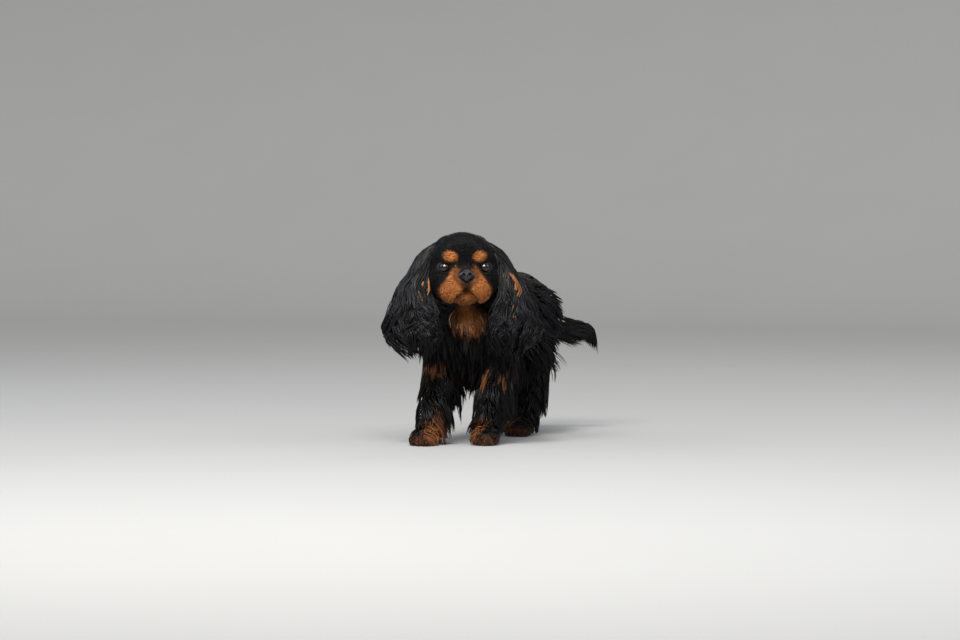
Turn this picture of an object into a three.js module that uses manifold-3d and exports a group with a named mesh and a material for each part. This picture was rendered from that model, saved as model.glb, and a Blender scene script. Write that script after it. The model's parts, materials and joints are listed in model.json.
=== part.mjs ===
// A cavalier king charles spaniel, black and tan, life size, with its head turned a little to its left.
// Millimetres, +Z up. The dog faces -Y and its left side is +X. The floor is at Z 0.
// The flesh is one smooth field of rounded forms, meshed to suit each part and parted by thin cuts.
// The long silky coat is flat, tapered locks, fused to the part that they grow from.
import * as THREE from "three";
import Module from "manifold-3d";

const wasm = await Module();
wasm.setup();

// Driving dimensions
const GAP = 0.3; // between parts that meet at a flat cut
const CLEAR = 1.6; // how far a part keeps from a rounded neighbour
const TRIM = 0.25; // slivers of a cut or a join that are thinner are closed
const WITHERS = 300; // height of the back over the shoulders
const CROUP = 284; // height of the back over the hips
const BRISKET = 160; // height of the underside of the chest
const CHEST_WIDTH = 128;
const LOIN_WIDTH = 114;
const EYE_SPREAD = 66; // between the middles of the eyes
const EYE_RADIUS = 10.4;
const HEAD_PLACE = [29, -212, 300]; // the point midway between the eyes
const HEAD_YAW = 25; // degrees towards its left
const HEAD_PITCH = 8; // degrees, nose up
const LEG_RADIUS = 13;
const PAW_WIDTH = 40;

const vec = (x, y, z) => new THREE.Vector3(x, y, z);
const { clamp, lerp, degToRad } = THREE.MathUtils;

// A seeded draw, so that the coat is the same each time.
function seeded(seed) {
  let state = seed;
  return (low = 0, high = 1) => {
    state = (state + 0x6d2b79f5) | 0;
    let t = Math.imul(state ^ (state >>> 15), 1 | state);
    t = (t + Math.imul(t ^ (t >>> 7), 61 | t)) ^ t;
    return low + ((high - low) * ((t ^ (t >>> 14)) >>> 0)) / 4294967296;
  };
}

// Fields: each gives a distance that is negative inside.

function ball(centre, radii, turn = [0, 0, 0]) {
  const c = vec(...centre);
  const back = new THREE.Quaternion().setFromEuler(new THREE.Euler(...turn.map(degToRad))).invert();
  const p = vec();
  return (x, y, z) => {
    p.set(x, y, z).sub(c).applyQuaternion(back);
    const [a, b, d] = radii;
    const k0 = Math.hypot(p.x / a, p.y / b, p.z / d);
    const k1 = Math.hypot(p.x / (a * a), p.y / (b * b), p.z / (d * d));
    return k1 > 0 ? (k0 * (k0 - 1)) / k1 : -Math.min(a, b, d);
  };
}

function limb(from, to, startRadius, endRadius) {
  const [ax, ay, az] = from;
  const [bx, by, bz] = [to[0] - ax, to[1] - ay, to[2] - az];
  const length2 = bx * bx + by * by + bz * bz;
  return (x, y, z) => {
    const t = clamp(((x - ax) * bx + (y - ay) * by + (z - az) * bz) / length2, 0, 1);
    const reach = Math.hypot(x - ax - t * bx, y - ay - t * by, z - az - t * bz);
    return reach - lerp(startRadius, endRadius, t);
  };
}

// Joins forms with a soft fillet of about the given width.
function blended(forms, width) {
  return (x, y, z) => {
    let found = 1e6;
    for (const form of forms) {
      const d = form(x, y, z);
      const h = Math.max(width - Math.abs(found - d), 0) / width;
      found = Math.min(found, d) - (h * h * width) / 4;
    }
    return found;
  };
}

function slopeOf(field, p) {
  const e = 0.5;
  return vec(
    field(p.x + e, p.y, p.z) - field(p.x - e, p.y, p.z),
    field(p.x, p.y + e, p.z) - field(p.x, p.y - e, p.z),
    field(p.x, p.y, p.z + e) - field(p.x, p.y, p.z - e),
  ).normalize();
}

const both = (make) => [-1, 1].flatMap(make);

// The head, in its own frame: the origin is midway between the eyes, -Y is forward and +Z is up.
const headTurn = new THREE.Matrix4()
  .makeTranslation(...HEAD_PLACE)
  .multiply(new THREE.Matrix4().makeRotationZ(degToRad(HEAD_YAW)))
  .multiply(new THREE.Matrix4().makeRotationX(degToRad(-HEAD_PITCH)));
const headBack = headTurn.clone().invert();
const fromHead = (x, y, z) => vec(x, y, z).applyMatrix4(headTurn);

const EYE_X = EYE_SPREAD / 2;
const MUZZLE_FRONT = -38;
const NOSE_PLACE = [0, MUZZLE_FRONT - 3, -17];
const NOSE_RADII = [13.5, 9, 10.5];

const headForms = blended(
  [
    ball([0, 42, 12], [52, 56, 51]), // cranium
    ball([0, 14, 20], [46, 30, 32]), // forehead
    ball([0, 22, -16], [50, 36, 34]), // face below the eyes
    limb([0, 6, -8], [0, MUZZLE_FRONT + 13, -19], 21, 17), // bridge of the muzzle
    ...both((s) => [
      ball([s * 24, 0, 14], [14, 9, 10]), // brow
      ball([s * 32, 22, -22], [24, 36, 32]), // cheek
      ball([s * 17, MUZZLE_FRONT + 17, -34], [19, 21, 18]), // muzzle cushion
      ball([s * 23, MUZZLE_FRONT + 26, -45], [16, 19, 14]), // flew
    ]),
    ball([0, MUZZLE_FRONT + 19, -53], [14, 15, 10]), // chin
    limb([0, 34, -36], [0, -6, -46], 24, 13), // lower jaw
  ],
  14,
);
const headField = (x, y, z) => {
  const p = vec(x, y, z).applyMatrix4(headBack);
  return headForms(p.x, p.y, p.z);
};

// The legs: joints from the body down to the paw, one entry for each foot.
const LEGS = {
  leg_front_right: {
    fore: true,
    joints: [[-44, -112, 205], [-50, -104, 158], [-50, -156, 66], [-50, -176, 27]],
    paw: [-50, -190],
  },
  leg_front_left: {
    fore: true,
    joints: [[44, -112, 205], [49, -94, 158], [45, -124, 70], [43, -134, 30]],
    paw: [43, -146],
  },
  leg_hind_left: {
    fore: false,
    joints: [[40, 122, 222], [46, 80, 158], [38, 104, 74], [31, 78, 26]],
    paw: [30, 64],
  },
  leg_hind_right: {
    fore: false,
    joints: [[-40, 122, 222], [-47, 104, 156], [-42, 172, 78], [-39, 168, 28]],
    paw: [-38, 156],
  },
};

function pawForms([x, y]) {
  const half = PAW_WIDTH / 2;
  const toes = [-1.5, -0.5, 0.5, 1.5].map((i) =>
    ball([x + i * half * 0.46, y - 14 + Math.abs(i) * 4, 10], [6.5, 12, 10]),
  );
  return [ball([x, y, 13], [half, 21, 14]), ...toes];
}

function legForms({ fore, joints, paw }) {
  const r = LEG_RADIUS;
  const radii = fore ? [30, r + 9, r + 2, r + 1] : [38, r + 14, r + 3, r];
  return [
    ...joints.slice(1).map((p, i) => limb(joints[i], p, radii[i], radii[i + 1])),
    ...pawForms(paw),
  ];
}

const trunkForms = [
  ball([0, -50, (WITHERS + BRISKET) / 2], [CHEST_WIDTH / 2, 118, (WITHERS - BRISKET) / 2]), // ribs
  ball([0, -122, 218], [52, 46, 56]), // breast
  ball([0, 62, CROUP - 52], [LOIN_WIDTH / 2, 98, 54]), // loin
  ball([0, 132, CROUP - 50], [52, 52, 50]), // rump
  ...both((s) => [
    ball([s * 44, -98, 215], [26, 42, 62]), // shoulder
    ball([s * 35, 124, 200], [24, 46, 54]), // thigh
  ]),
  limb([0, -116, 250], [10, -166, 290], 56, 47), // neck
];

const fleshField = (() => {
  const trunk = blended([...trunkForms, ...Object.values(LEGS).flatMap(legForms)], 16);
  return (x, y, z) => {
    const a = trunk(x, y, z);
    if (z < 180) return a;
    const b = headField(x, y, z);
    const h = Math.max(18 - Math.abs(a - b), 0) / 18;
    return Math.min(a, b) - (h * h * 18) / 4;
  };
})();

// Meshes the skin of a field between two corners as a net of quads, one point in each crossed cell.
function netOf(field, low, high, step) {
  const n = [0, 1, 2].map((i) => Math.ceil((high[i] - low[i]) / step) + 1);
  const index = (i, j, k) => (k * n[1] + j) * n[0] + i;
  const value = new Float64Array(n[0] * n[1] * n[2]);
  for (let k = 0; k < n[2]; k++)
    for (let j = 0; j < n[1]; j++)
      for (let i = 0; i < n[0]; i++) {
        const rim = i * j * k === 0 || i === n[0] - 1 || j === n[1] - 1 || k === n[2] - 1;
        const d = field(low[0] + i * step, low[1] + j * step, low[2] + k * step);
        value[index(i, j, k)] = rim ? Math.max(d, step / 4) : d;
      }
  const positions = [];
  const cellPoint = new Map();
  const corners = [0, 1, 2, 3, 4, 5, 6, 7].map((c) => [c & 1, (c >> 1) & 1, (c >> 2) & 1]);
  const edges = [];
  for (const a of corners)
    for (const b of corners)
      if (a[0] <= b[0] && a[1] <= b[1] && a[2] <= b[2])
        if (b[0] - a[0] + b[1] - a[1] + b[2] - a[2] === 1) edges.push([a, b]);
  for (let k = 0; k < n[2] - 1; k++)
    for (let j = 0; j < n[1] - 1; j++)
      for (let i = 0; i < n[0] - 1; i++) {
        const sum = vec(0, 0, 0);
        let count = 0;
        for (const [a, b] of edges) {
          const va = value[index(i + a[0], j + a[1], k + a[2])];
          const vb = value[index(i + b[0], j + b[1], k + b[2])];
          if (va < 0 === vb < 0) continue;
          const t = va / (va - vb);
          sum.add(vec(lerp(a[0], b[0], t), lerp(a[1], b[1], t), lerp(a[2], b[2], t)));
          count += 1;
        }
        if (!count) continue;
        const start = vec(low[0] + i * step, low[1] + j * step, low[2] + k * step);
        const middle = sum.divideScalar(count);
        const p = middle.clone().multiplyScalar(step).add(start);
        for (let turn = 0; turn < 3; turn++) {
          const move = clamp(field(p.x, p.y, p.z), -step / 2, step / 2);
          p.addScaledVector(slopeOf(field, p), -move);
        }
        p.clamp(start, start.clone().addScalar(step));
        cellPoint.set(index(i, j, k), positions.length / 3);
        positions.push(p.x, p.y, p.z);
      }
  const faces = [];
  const at = (id) => vec(...positions.slice(id * 3, id * 3 + 3));
  const axes = [[1, 0, 0], [0, 1, 0], [0, 0, 1]];
  for (let k = 0; k < n[2] - 1; k++)
    for (let j = 0; j < n[1] - 1; j++)
      for (let i = 0; i < n[0] - 1; i++)
        axes.forEach((axis, d) => {
          const here = value[index(i, j, k)] < 0;
          const there = value[index(i + axis[0], j + axis[1], k + axis[2])] < 0;
          if (here === there) return;
          const u = axes[(d + 1) % 3];
          const w = axes[(d + 2) % 3];
          const cell = (a, b) =>
            cellPoint.get(index(i - a * u[0] - b * w[0], j - a * u[1] - b * w[1], k - a * u[2] - b * w[2]));
          const quad = [cell(0, 0), cell(1, 0), cell(1, 1), cell(0, 1)];
          if (!here) quad.reverse();
          const [a, b, c, e] = quad;
          if (at(a).distanceTo(at(c)) < at(b).distanceTo(at(e))) faces.push(a, b, c, a, c, e);
          else faces.push(b, c, e, b, e, a);
        });
  return solidOf(positions, faces);
}

// Solids

function solidOf(positions, faces) {
  const vertProperties = new Float32Array(positions);
  const triVerts = new Uint32Array(faces);
  let solid = new wasm.Manifold(new wasm.Mesh({ numProp: 3, vertProperties, triVerts }));
  if (solid.volume() < 0) {
    for (let i = 0; i < triVerts.length; i += 3)
      [triVerts[i + 1], triVerts[i + 2]] = [triVerts[i + 2], triVerts[i + 1]];
    solid = new wasm.Manifold(new wasm.Mesh({ numProp: 3, vertProperties, triVerts }));
  }
  return solid;
}

// A three.js geometry as a solid: points at one place are merged.
function fromGeometry(geometry) {
  const source = geometry.index ? geometry.toNonIndexed() : geometry;
  const flat = source.getAttribute("position").array;
  const seen = new Map();
  const positions = [];
  const faces = [];
  for (let i = 0; i < flat.length; i += 3) {
    const key = [flat[i], flat[i + 1], flat[i + 2]].map((c) => Math.round(c * 1000)).join();
    if (!seen.has(key)) {
      seen.set(key, positions.length / 3);
      positions.push(flat[i], flat[i + 1], flat[i + 2]);
    }
    faces.push(seen.get(key));
  }
  const kept = [];
  for (let i = 0; i < faces.length; i += 3) {
    const [a, b, c] = faces.slice(i, i + 3);
    if (a !== b && b !== c && a !== c) kept.push(a, b, c);
  }
  return solidOf(positions, kept);
}

function toGeometry(solid) {
  const mesh = solid.getMesh();
  const positions = new Float32Array(mesh.numVert * 3);
  for (let i = 0; i < mesh.numVert; i++)
    positions.set(mesh.vertProperties.subarray(i * mesh.numProp, i * mesh.numProp + 3), i * 3);
  partTouching(positions, mesh.triVerts);
  const geometry = new THREE.BufferGeometry();
  geometry.setAttribute("position", new THREE.BufferAttribute(positions, 3));
  geometry.setIndex(new THREE.BufferAttribute(new Uint32Array(mesh.triVerts), 1));
  geometry.computeVertexNormals();
  return geometry;
}

// Two folds of one skin may touch at a point: one of them is drawn back by a hair's breadth.
function partTouching(positions, faces) {
  const point = (id) => vec(...positions.subarray(id * 3, id * 3 + 3));
  const seen = new Set();
  for (let id = 0; id < positions.length / 3; id++) {
    const place = point(id).toArray().map((c) => c.toFixed(3)).join();
    if (seen.has(place)) {
      const face = (i) => faces.subarray(i - (i % 3), i - (i % 3) + 3);
      const around = faces.filter((other, i) => face(i).includes(id));
      const middle = around.reduce((sum, other) => sum.add(point(other)), vec(0, 0, 0));
      middle.divideScalar(around.length);
      const step = middle.sub(point(id)).normalize().multiplyScalar(0.02);
      positions.set(point(id).add(step).toArray(), id * 3);
    }
    seen.add(place);
  }
}

// The part of space on the side of a plane that its normal points to.
function halfSpace(point, normal, shift) {
  const size = 900;
  const box = new THREE.BoxGeometry(size, size, size).translate(0, 0, size / 2 + shift);
  const turn = new THREE.Quaternion().setFromUnitVectors(vec(0, 0, 1), normal.clone().normalize());
  return fromGeometry(box.applyQuaternion(turn).translate(point.x, point.y, point.z));
}

function largestOf(solid) {
  const bodies = solid.decompose();
  return bodies.reduce((a, b) => (b.volume() > a.volume() ? b : a));
}

const joined = (solids) => wasm.Manifold.union(solids);

// One flat, tapered lock along a path: three sides, with its ridge outwards and its root sunk.
function lockOf({ path, outs, width, depth }, grow = 0) {
  const last = path.length - 1;
  const positions = [];
  for (let i = 0; i < last; i++) {
    const t = i / last;
    const along = path[i + 1].clone().sub(path[Math.max(i - 1, 0)]).normalize();
    const side = along.clone().cross(outs[i]).normalize();
    const out = side.clone().cross(along).normalize();
    const swell = t < 0.3 ? lerp(0.75, 1, t / 0.3) : Math.sqrt(1 - ((t - 0.3) / 0.7) ** 1.6);
    const half = (width * swell) / 2 + grow;
    const thick = Math.max(depth * swell, 1.2);
    for (const [s, o] of [
      [-half, -thick * 0.35 - grow],
      [half, -thick * 0.35 - grow],
      [0, thick * 0.65 + grow],
    ]) {
      const p = path[i].clone().addScaledVector(side, s).addScaledVector(out, o);
      positions.push(p.x, p.y, p.z);
    }
  }
  const end = path[last].clone().addScaledVector(path[last].clone().sub(path[last - 1]).normalize(), grow);
  positions.push(end.x, end.y, end.z);
  const faces = [0, 1, 2];
  for (let i = 0; i < last - 1; i++)
    for (let s = 0; s < 3; s++) {
      const [a, b] = [i * 3 + s, i * 3 + ((s + 1) % 3)];
      faces.push(a, a + 3, b + 3, a, b + 3, b);
    }
  for (let s = 0; s < 3; s++) faces.push((last - 1) * 3 + s, last * 3, (last - 1) * 3 + ((s + 1) % 3));
  return solidOf(positions, faces);
}

// The point where a ray from outside first meets a field, or null.
function surfaceFrom(field, axisPoint, direction, reach = 150) {
  const p = vec();
  for (let r = reach; r > 0; r -= 1) {
    p.copy(axisPoint).addScaledVector(direction, r);
    const d = field(p.x, p.y, p.z);
    if (d < 0) return p.addScaledVector(direction, -d);
  }
  return null;
}

// A lock that leaves the flesh at a root, lies along it and hangs.
const LOCK_STEPS = 3;
const LOCK_FLOOR = 1.5; // the least height of a lock over the floor
function hangingLock(field, root, { lie, length, width, depth, lift, droop, wave = 0 }) {
  const normal = slopeOf(field, root);
  const start = lie.clone().addScaledVector(normal, -lie.dot(normal)).normalize();
  const path = [root.clone().addScaledVector(normal, -depth * 0.9)];
  const outs = [normal.clone()];
  const p = root.clone().addScaledVector(normal, depth * 0.2);
  const down = vec(0, 0, -1);
  const heading = start.clone();
  const side = start.clone().cross(normal).normalize();
  for (let i = 1; i <= LOCK_STEPS; i++) {
    const t = i / LOCK_STEPS;
    heading.copy(start).lerp(down, droop * t);
    heading.addScaledVector(side, wave * Math.sin(t * Math.PI * 1.6)).normalize();
    p.addScaledVector(heading, length / LOCK_STEPS);
    const d = field(p.x, p.y, p.z);
    const want = depth * 0.35 + lift * Math.sin(t * 2.2);
    if (d < want) p.addScaledVector(slopeOf(field, p), want - d);
    p.z = Math.max(p.z, LOCK_FLOOR + 2.5 * (1 - t));
    path.push(p.clone());
    outs.push(slopeOf(field, p).lerp(normal, 0.4).normalize());
  }
  return { path, outs, width, depth };
}

// The flesh of each part: its own mesh size, cut at planes that its neighbours share.
const NECK_TOP = { point: vec(6, -152, 282), normal: vec(0.12, -0.62, 0.78).normalize() };
const NECK_BASE = { point: vec(0, -104, 262), normal: vec(0, -0.5, 0.87).normalize() };
const above = ({ point, normal }, shift) => halfSpace(point, normal, shift);
const below = ({ point, normal }, shift) => halfSpace(point, normal.clone().negate(), shift);

const ELBOW = { point: vec(0, -100, 158), normal: vec(0, 0.18, 1).normalize() };
const GROIN = { point: vec(0, 60, 172), normal: vec(0, -0.42, 1).normalize() };
const LEG_SIDE = 9; // the inner side of a leg's cut, from the middle

function legRegion(name, grow) {
  const { fore } = LEGS[name];
  const s = name.endsWith("left") ? 1 : -1;
  const top = fore ? ELBOW : GROIN;
  const [from, to] = fore ? [-260, -30] : [34, 240];
  const inner = LEG_SIDE - grow;
  const box = new THREE.BoxGeometry(120, to - from + 2 * grow, 300);
  box.translate(s * (inner + 60), (from + to) / 2, 145);
  return fromGeometry(box).intersect(below(top, -grow));
}

// The flesh between two corners, thinned to as few faces as keep it within a tolerance.
function fleshOf(low, high, step, tolerance) {
  return netOf(fleshField, low, high, step).simplify(tolerance);
}

// A closed skin through rings along a curve: halves(t) gives the half width and half depth, axes(t) the two
// directions that they lie in, and share scales them.
function lofted({ curve, halves, axes, from = 0, to = 1, share = 1, rings = 9, sides = 14 }) {
  const positions = [];
  const faces = [];
  for (let i = 0; i <= rings; i++) {
    const t = lerp(from, to, i / rings);
    for (let s = 0; s < sides; s++) {
      const p = loftPoint({ curve, halves, axes }, t, (s / sides) * Math.PI * 2, share);
      positions.push(p.x, p.y, p.z);
    }
  }
  for (let i = 0; i < rings; i++)
    for (let s = 0; s < sides; s++) {
      const [a, b] = [i * sides + s, i * sides + ((s + 1) % sides)];
      faces.push(a, a + sides, b + sides, a, b + sides, b);
    }
  for (const i of [0, rings]) {
    const middle = curve(lerp(from, to, i / rings));
    const id = positions.length / 3;
    positions.push(middle.x, middle.y, middle.z);
    for (let s = 0; s < sides; s++) {
      const [a, b] = [i * sides + s, i * sides + ((s + 1) % sides)];
      faces.push(...(i ? [a, id, b] : [a, b, id]));
    }
  }
  return solidOf(positions, faces);
}

function loftPoint({ curve, halves, axes }, t, angle, share) {
  const [wide, deep] = halves(t);
  const [across, through] = axes(t);
  return curve(t)
    .addScaledVector(across, wide * share * Math.cos(angle))
    .addScaledVector(through, deep * share * Math.sin(angle));
}

// The bell of an ear and its hair: it leaves the side of the skull, flares outwards and turns in below.
const EAR_FLARE = 35; // degrees that its outer edge is turned back
// Places outwards, back and up in the frame of the head, with the half width and half depth at each.
const EAR_LINE = [
  [40, 40, 48, 13, 9],
  [58, 41, 30, 17, 11],
  [74, 40, -4, 24, 14],
  [84, 36, -42, 38, 19],
  [86, 31, -78, 54, 24],
  [84, 27, -112, 55, 25],
  [76, 24, -144, 20, 12],
];
function earBell(s) {
  const line = new THREE.CatmullRomCurve3(EAR_LINE.map(([x, y, z]) => fromHead(s * x, y, z)));
  const size = new THREE.CatmullRomCurve3(EAR_LINE.map(([, , , wide, deep]) => vec(wide, deep, 0)));
  const turned = (x, y, z) => vec(x, y, z).transformDirection(headTurn);
  const flare = degToRad(EAR_FLARE);
  return {
    curve: (t) => line.getPoint(t),
    halves: (t) => size.getPoint(t).toArray(),
    axes: () => [
      turned(s * Math.cos(flare), Math.sin(flare), 0),
      turned(-s * Math.sin(flare), Math.cos(flare), 0),
    ],
  };
}

// The tail: carried low and swung to its left, with a plume that hangs from it.
const TAIL_LINE = [
  [0, 160, 258],
  [10, 192, 246],
  [34, 220, 208],
  [64, 240, 193],
  [94, 254, 184],
  [112, 258, 158],
];
const tailCurve = new THREE.CatmullRomCurve3(TAIL_LINE.map((p) => vec(...p)));
const tailFade = (t) => Math.sqrt(Math.max(1 - t ** 6, 0.05)); // rounds off its tip
const tailPlume = {
  curve: (t) => tailCurve.getPoint(t).add(vec(0, 0, -10 * Math.sin(Math.PI * Math.min(t * 1.1, 1)))),
  halves: (t) => [lerp(11, 7, t) * tailFade(t), lerp(15, 22, Math.sin(t * 3)) * tailFade(t)],
  axes: (t) => {
    const along = tailCurve.getTangent(t);
    const side = along.clone().cross(vec(0, 0, 1)).normalize();
    return [side, side.clone().cross(along).normalize()];
  },
};

// Locks that run along a bell in tiers, each tier set between the locks of the one above.
function bellLocks(bell, { tiers, around, width, depth, sway, draw }) {
  return tiers.flatMap(([from, to], tier) =>
    Array.from({ length: around }, (_, i) => {
      const start = ((i + (tier % 2) / 2) / around) * Math.PI * 2;
      const phase = draw(0, 6);
      const path = [];
      const outs = [];
      for (let k = 0; k <= LOCK_STEPS; k++) {
        const t = lerp(from, to + draw(-0.02, 0.02), k / LOCK_STEPS);
        const angle = start + sway * Math.sin(phase + t * 9);
        const share = k === 0 ? 0.5 : lerp(0.93, 0.86, k / LOCK_STEPS);
        const p = loftPoint(bell, t, angle, share);
        outs.push(p.clone().sub(bell.curve(t)).normalize());
        path.push(p);
      }
      return { path, outs, width: width * draw(0.85, 1.1), depth };
    }),
  );
}

const material = (color, roughness) => new THREE.MeshStandardMaterial({ color, roughness });
const COAT_BLACK = 0x15151a;
const NOSE_BLACK = 0x101013;
const EYE_BROWN = 0x1d120c;

const grownFlesh = (low, high, step) => netOf((x, y, z) => fleshField(x, y, z) - CLEAR, low, high, step);
const HEAD_BOX = [[-80, -300, 200], [130, -90, 400]];

const neckPart = fleshOf([-90, -240, 190], [90, -40, 350], 13, 1)
  .intersect(below(NECK_TOP, GAP / 2))
  .intersect(above(NECK_BASE, GAP / 2));

// The eye: a ball in a socket, with lids that leave an almond opening.
const EYE_DEPTH = -3; // the middle of the eye, from the origin of the head
const LID_OPENING = [9.4, 14, 8];
const LID_THICK = 1.9;
const LID_TILT = 10; // degrees that the outer corner is raised
const eyePlace = (s) => fromHead(s * EYE_X, EYE_DEPTH, 0);
const ballAt = (p, radius) => fromGeometry(new THREE.SphereGeometry(radius, 14, 9).translate(p.x, p.y, p.z));
const eyes = { left: ballAt(eyePlace(1), EYE_RADIUS), right: ballAt(eyePlace(-1), EYE_RADIUS) };

const inHead = (geometry) => fromGeometry(geometry.applyMatrix4(headTurn));

function lidOpening(s) {
  const opening = new THREE.SphereGeometry(1, 12, 6).rotateX(Math.PI / 2).scale(...LID_OPENING);
  return inHead(opening.rotateY(degToRad(-s * LID_TILT)).translate(s * (EYE_X + 0.6), EYE_DEPTH - 10, 0));
}

// The nose leather with its two nostrils, commas that open forwards and to the side.
function nosePart() {
  const leather = new THREE.SphereGeometry(1, 14, 9).scale(...NOSE_RADII).translate(...NOSE_PLACE);
  const [, y, z] = NOSE_PLACE;
  const cuts = both((s) => [
    inHead(new THREE.SphereGeometry(1, 7, 5).scale(3.4, 6, 3.6).translate(s * 5.6, y - 7, z + 0.5)),
    inHead(new THREE.SphereGeometry(1, 7, 4).scale(5, 5, 1.6).translate(s * 9.5, y - 5, z - 3)),
  ]);
  return inHead(leather).subtract(joined(cuts));
}

// The line of the mouth, an upturned V under the nose, found on the face from in front.
function faceDepth(x, z) {
  for (let y = -70; y < 20; y += 0.5) if (headForms(x, y, z) < 0) return y;
  return 20;
}

const LIP_WIDTH = 24;
const LIP_TOP = -40;
const LIP_CORNER = -57;
function lipPoint(u, shift = 0) {
  const z = lerp(LIP_TOP, LIP_CORNER, Math.abs(u) ** 1.15) + shift;
  return vec(u * LIP_WIDTH, faceDepth(u * LIP_WIDTH, z), z);
}

function cordAlong(points, radius, sides = 4) {
  const shape = new THREE.Shape();
  for (let i = 0; i < sides; i++) {
    const a = (i / sides) * Math.PI * 2;
    shape[i ? "lineTo" : "moveTo"](radius * Math.cos(a), radius * Math.sin(a));
  }
  const extrudePath = new THREE.CatmullRomCurve3(points);
  const steps = points.length + 1;
  return inHead(new THREE.ExtrudeGeometry(shape, { steps, extrudePath, bevelEnabled: false }));
}

const spread = (count, make) => Array.from({ length: count }, (_, i) => make(i / (count - 1)));
const mouthLine = cordAlong(spread(9, (t) => lipPoint(t * 2 - 1)), 1.6);
const lips = cordAlong(spread(9, (t) => lipPoint((t * 2 - 1) * 0.96, 2.6).add(vec(0, 1.2, 0))), 2.4);
const groovePoint = (z) => vec(0, faceDepth(0, z), z);
const noseGroove = cordAlong(spread(4, (t) => groovePoint(lerp(-28, LIP_TOP, t))), 1.1);

const headCore = fleshOf(...HEAD_BOX, 8, 0.6).intersect(above(NECK_TOP, GAP / 2));
const noseSocket = inHead(
  new THREE.SphereGeometry(1, 14, 9).scale(...NOSE_RADII.map((r) => r + GAP)).translate(...NOSE_PLACE),
);
const headPart = joined([headCore, lips, ...both((s) => ballAt(eyePlace(s), EYE_RADIUS + LID_THICK))])
  .subtract(joined([mouthLine, noseGroove, noseSocket]))
  .subtract(joined(both((s) => [ballAt(eyePlace(s), EYE_RADIUS + GAP), lidOpening(s)])));

const legParts = Object.fromEntries(
  Object.entries(LEGS).map(([name, leg]) => {
    const xs = leg.joints.map((p) => p[0]);
    const ys = [...leg.joints.map((p) => p[1]), leg.paw[1]];
    const low = [Math.min(...xs) - 70, Math.min(...ys) - 70, -8];
    const high = [Math.max(...xs) + 70, Math.max(...ys) + 70, 250];
    const ground = halfSpace(vec(0, 0, 0), vec(0, 0, 1), 0);
    return [name, fleshOf(low, high, 12, 1.3).intersect(legRegion(name, 0)).intersect(ground)];
  }),
);

const torsoPart = Object.keys(LEGS).reduce(
  (solid, name) => solid.subtract(legRegion(name, GAP)),
  fleshOf([-110, -230, 90], [110, 230, 330], 17, 1.8).intersect(below(NECK_BASE, GAP / 2)),
);

const headCutter = grownFlesh([-100, -290, 140], [130, -60, 400], 15).simplify(1);
const rumpCutter = grownFlesh([-80, 90, 180], [80, 215, 320], 16).simplify(1);

// Locks are left out where they would come nearer to another part than the clearance.
function dressed(core, locks, others) {
  const clear = locks.filter((lock) => {
    const shell = lockOf(lock, 0.5);
    return others.every((other) => apart(shell, other) || shell.intersect(other).isEmpty());
  });
  return joined([core, ...clear.map((lock) => lockOf(lock))]);
}

function apart(a, b) {
  const [p, q] = [a.boundingBox(), b.boundingBox()];
  return [0, 1, 2].some((i) => p.min[i] > q.max[i] || q.min[i] > p.max[i]);
}

// Roots on the flesh, found from a point inside it along a direction, each with a lock that hangs from it.
const lockAt = (from, towards, shape) => {
  const root = surfaceFrom(fleshField, from, towards.normalize());
  return hangingLock(fleshField, root, shape);
};

const coatDraw = seeded(7);
const nearly = (value, share = 0.12) => value * coatDraw(1 - share, 1 + share);

function bibLocks(rows) {
  return rows.flatMap(([z, length, lift, xs]) =>
    xs.map((x) =>
      lockAt(vec(x * 0.6, -80, z + 10), vec(x * 0.012, -1, -0.1), {
        lie: vec(x * 0.004, -0.25, -1),
        length: nearly(length),
        width: nearly(34),
        depth: 8,
        lift,
        droop: 0.8,
        wave: coatDraw(-0.35, 0.35),
      }),
    ),
  );
}

const throatLocks = bibLocks([[262, 44, 7, [-16, 16]], [244, 50, 10, [-32, 0, 32]]]);
const chestLocks = bibLocks([
  [202, 70, 7, [-46, -15, 15, 46]],
  [172, 84, 12, [-40, 0, 40]],
]);

const scruffLocks = [-1.5, -0.5, 0.5, 1.5].flatMap((i) =>
  [0, 1].map((row) =>
    lockAt(vec(4, -134 + row * 22, 262), vec(Math.sin(i * 0.7), 0.35, Math.cos(i * 0.7)), {
      lie: vec(Math.sin(i * 0.7) * 0.6, 1, -0.3),
      length: 44,
      width: 24,
      depth: 5,
      lift: 3,
      droop: 0.1,
    }),
  ),
);

const flankLocks = both((s) =>
  [-112, -54, 4, 62, 118].flatMap((y, i) =>
    [0, 1].map((row) =>
      lockAt(vec(0, y + 16 * row, row ? 218 : 190), vec(s, 0, row ? 0.1 : -0.25), {
        lie: vec(0, row ? 0.8 : 0.3, -1),
        length: nearly(row ? 44 : 58),
        width: nearly(46),
        depth: 6,
        lift: row ? 5 : 8,
        droop: 0.55,
        wave: (i % 2 ? 1 : -1) * 0.2,
      }),
    ),
  ),
);

const bellyLocks = [-24, 0, 24].map((y) =>
  lockAt(vec(0, y, 220), vec(0, 0, -1), {
    lie: vec(0, 0.9, -0.6),
    length: 46,
    width: 26,
    depth: 6,
    lift: 2,
    droop: 0.9,
  }),
);

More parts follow.
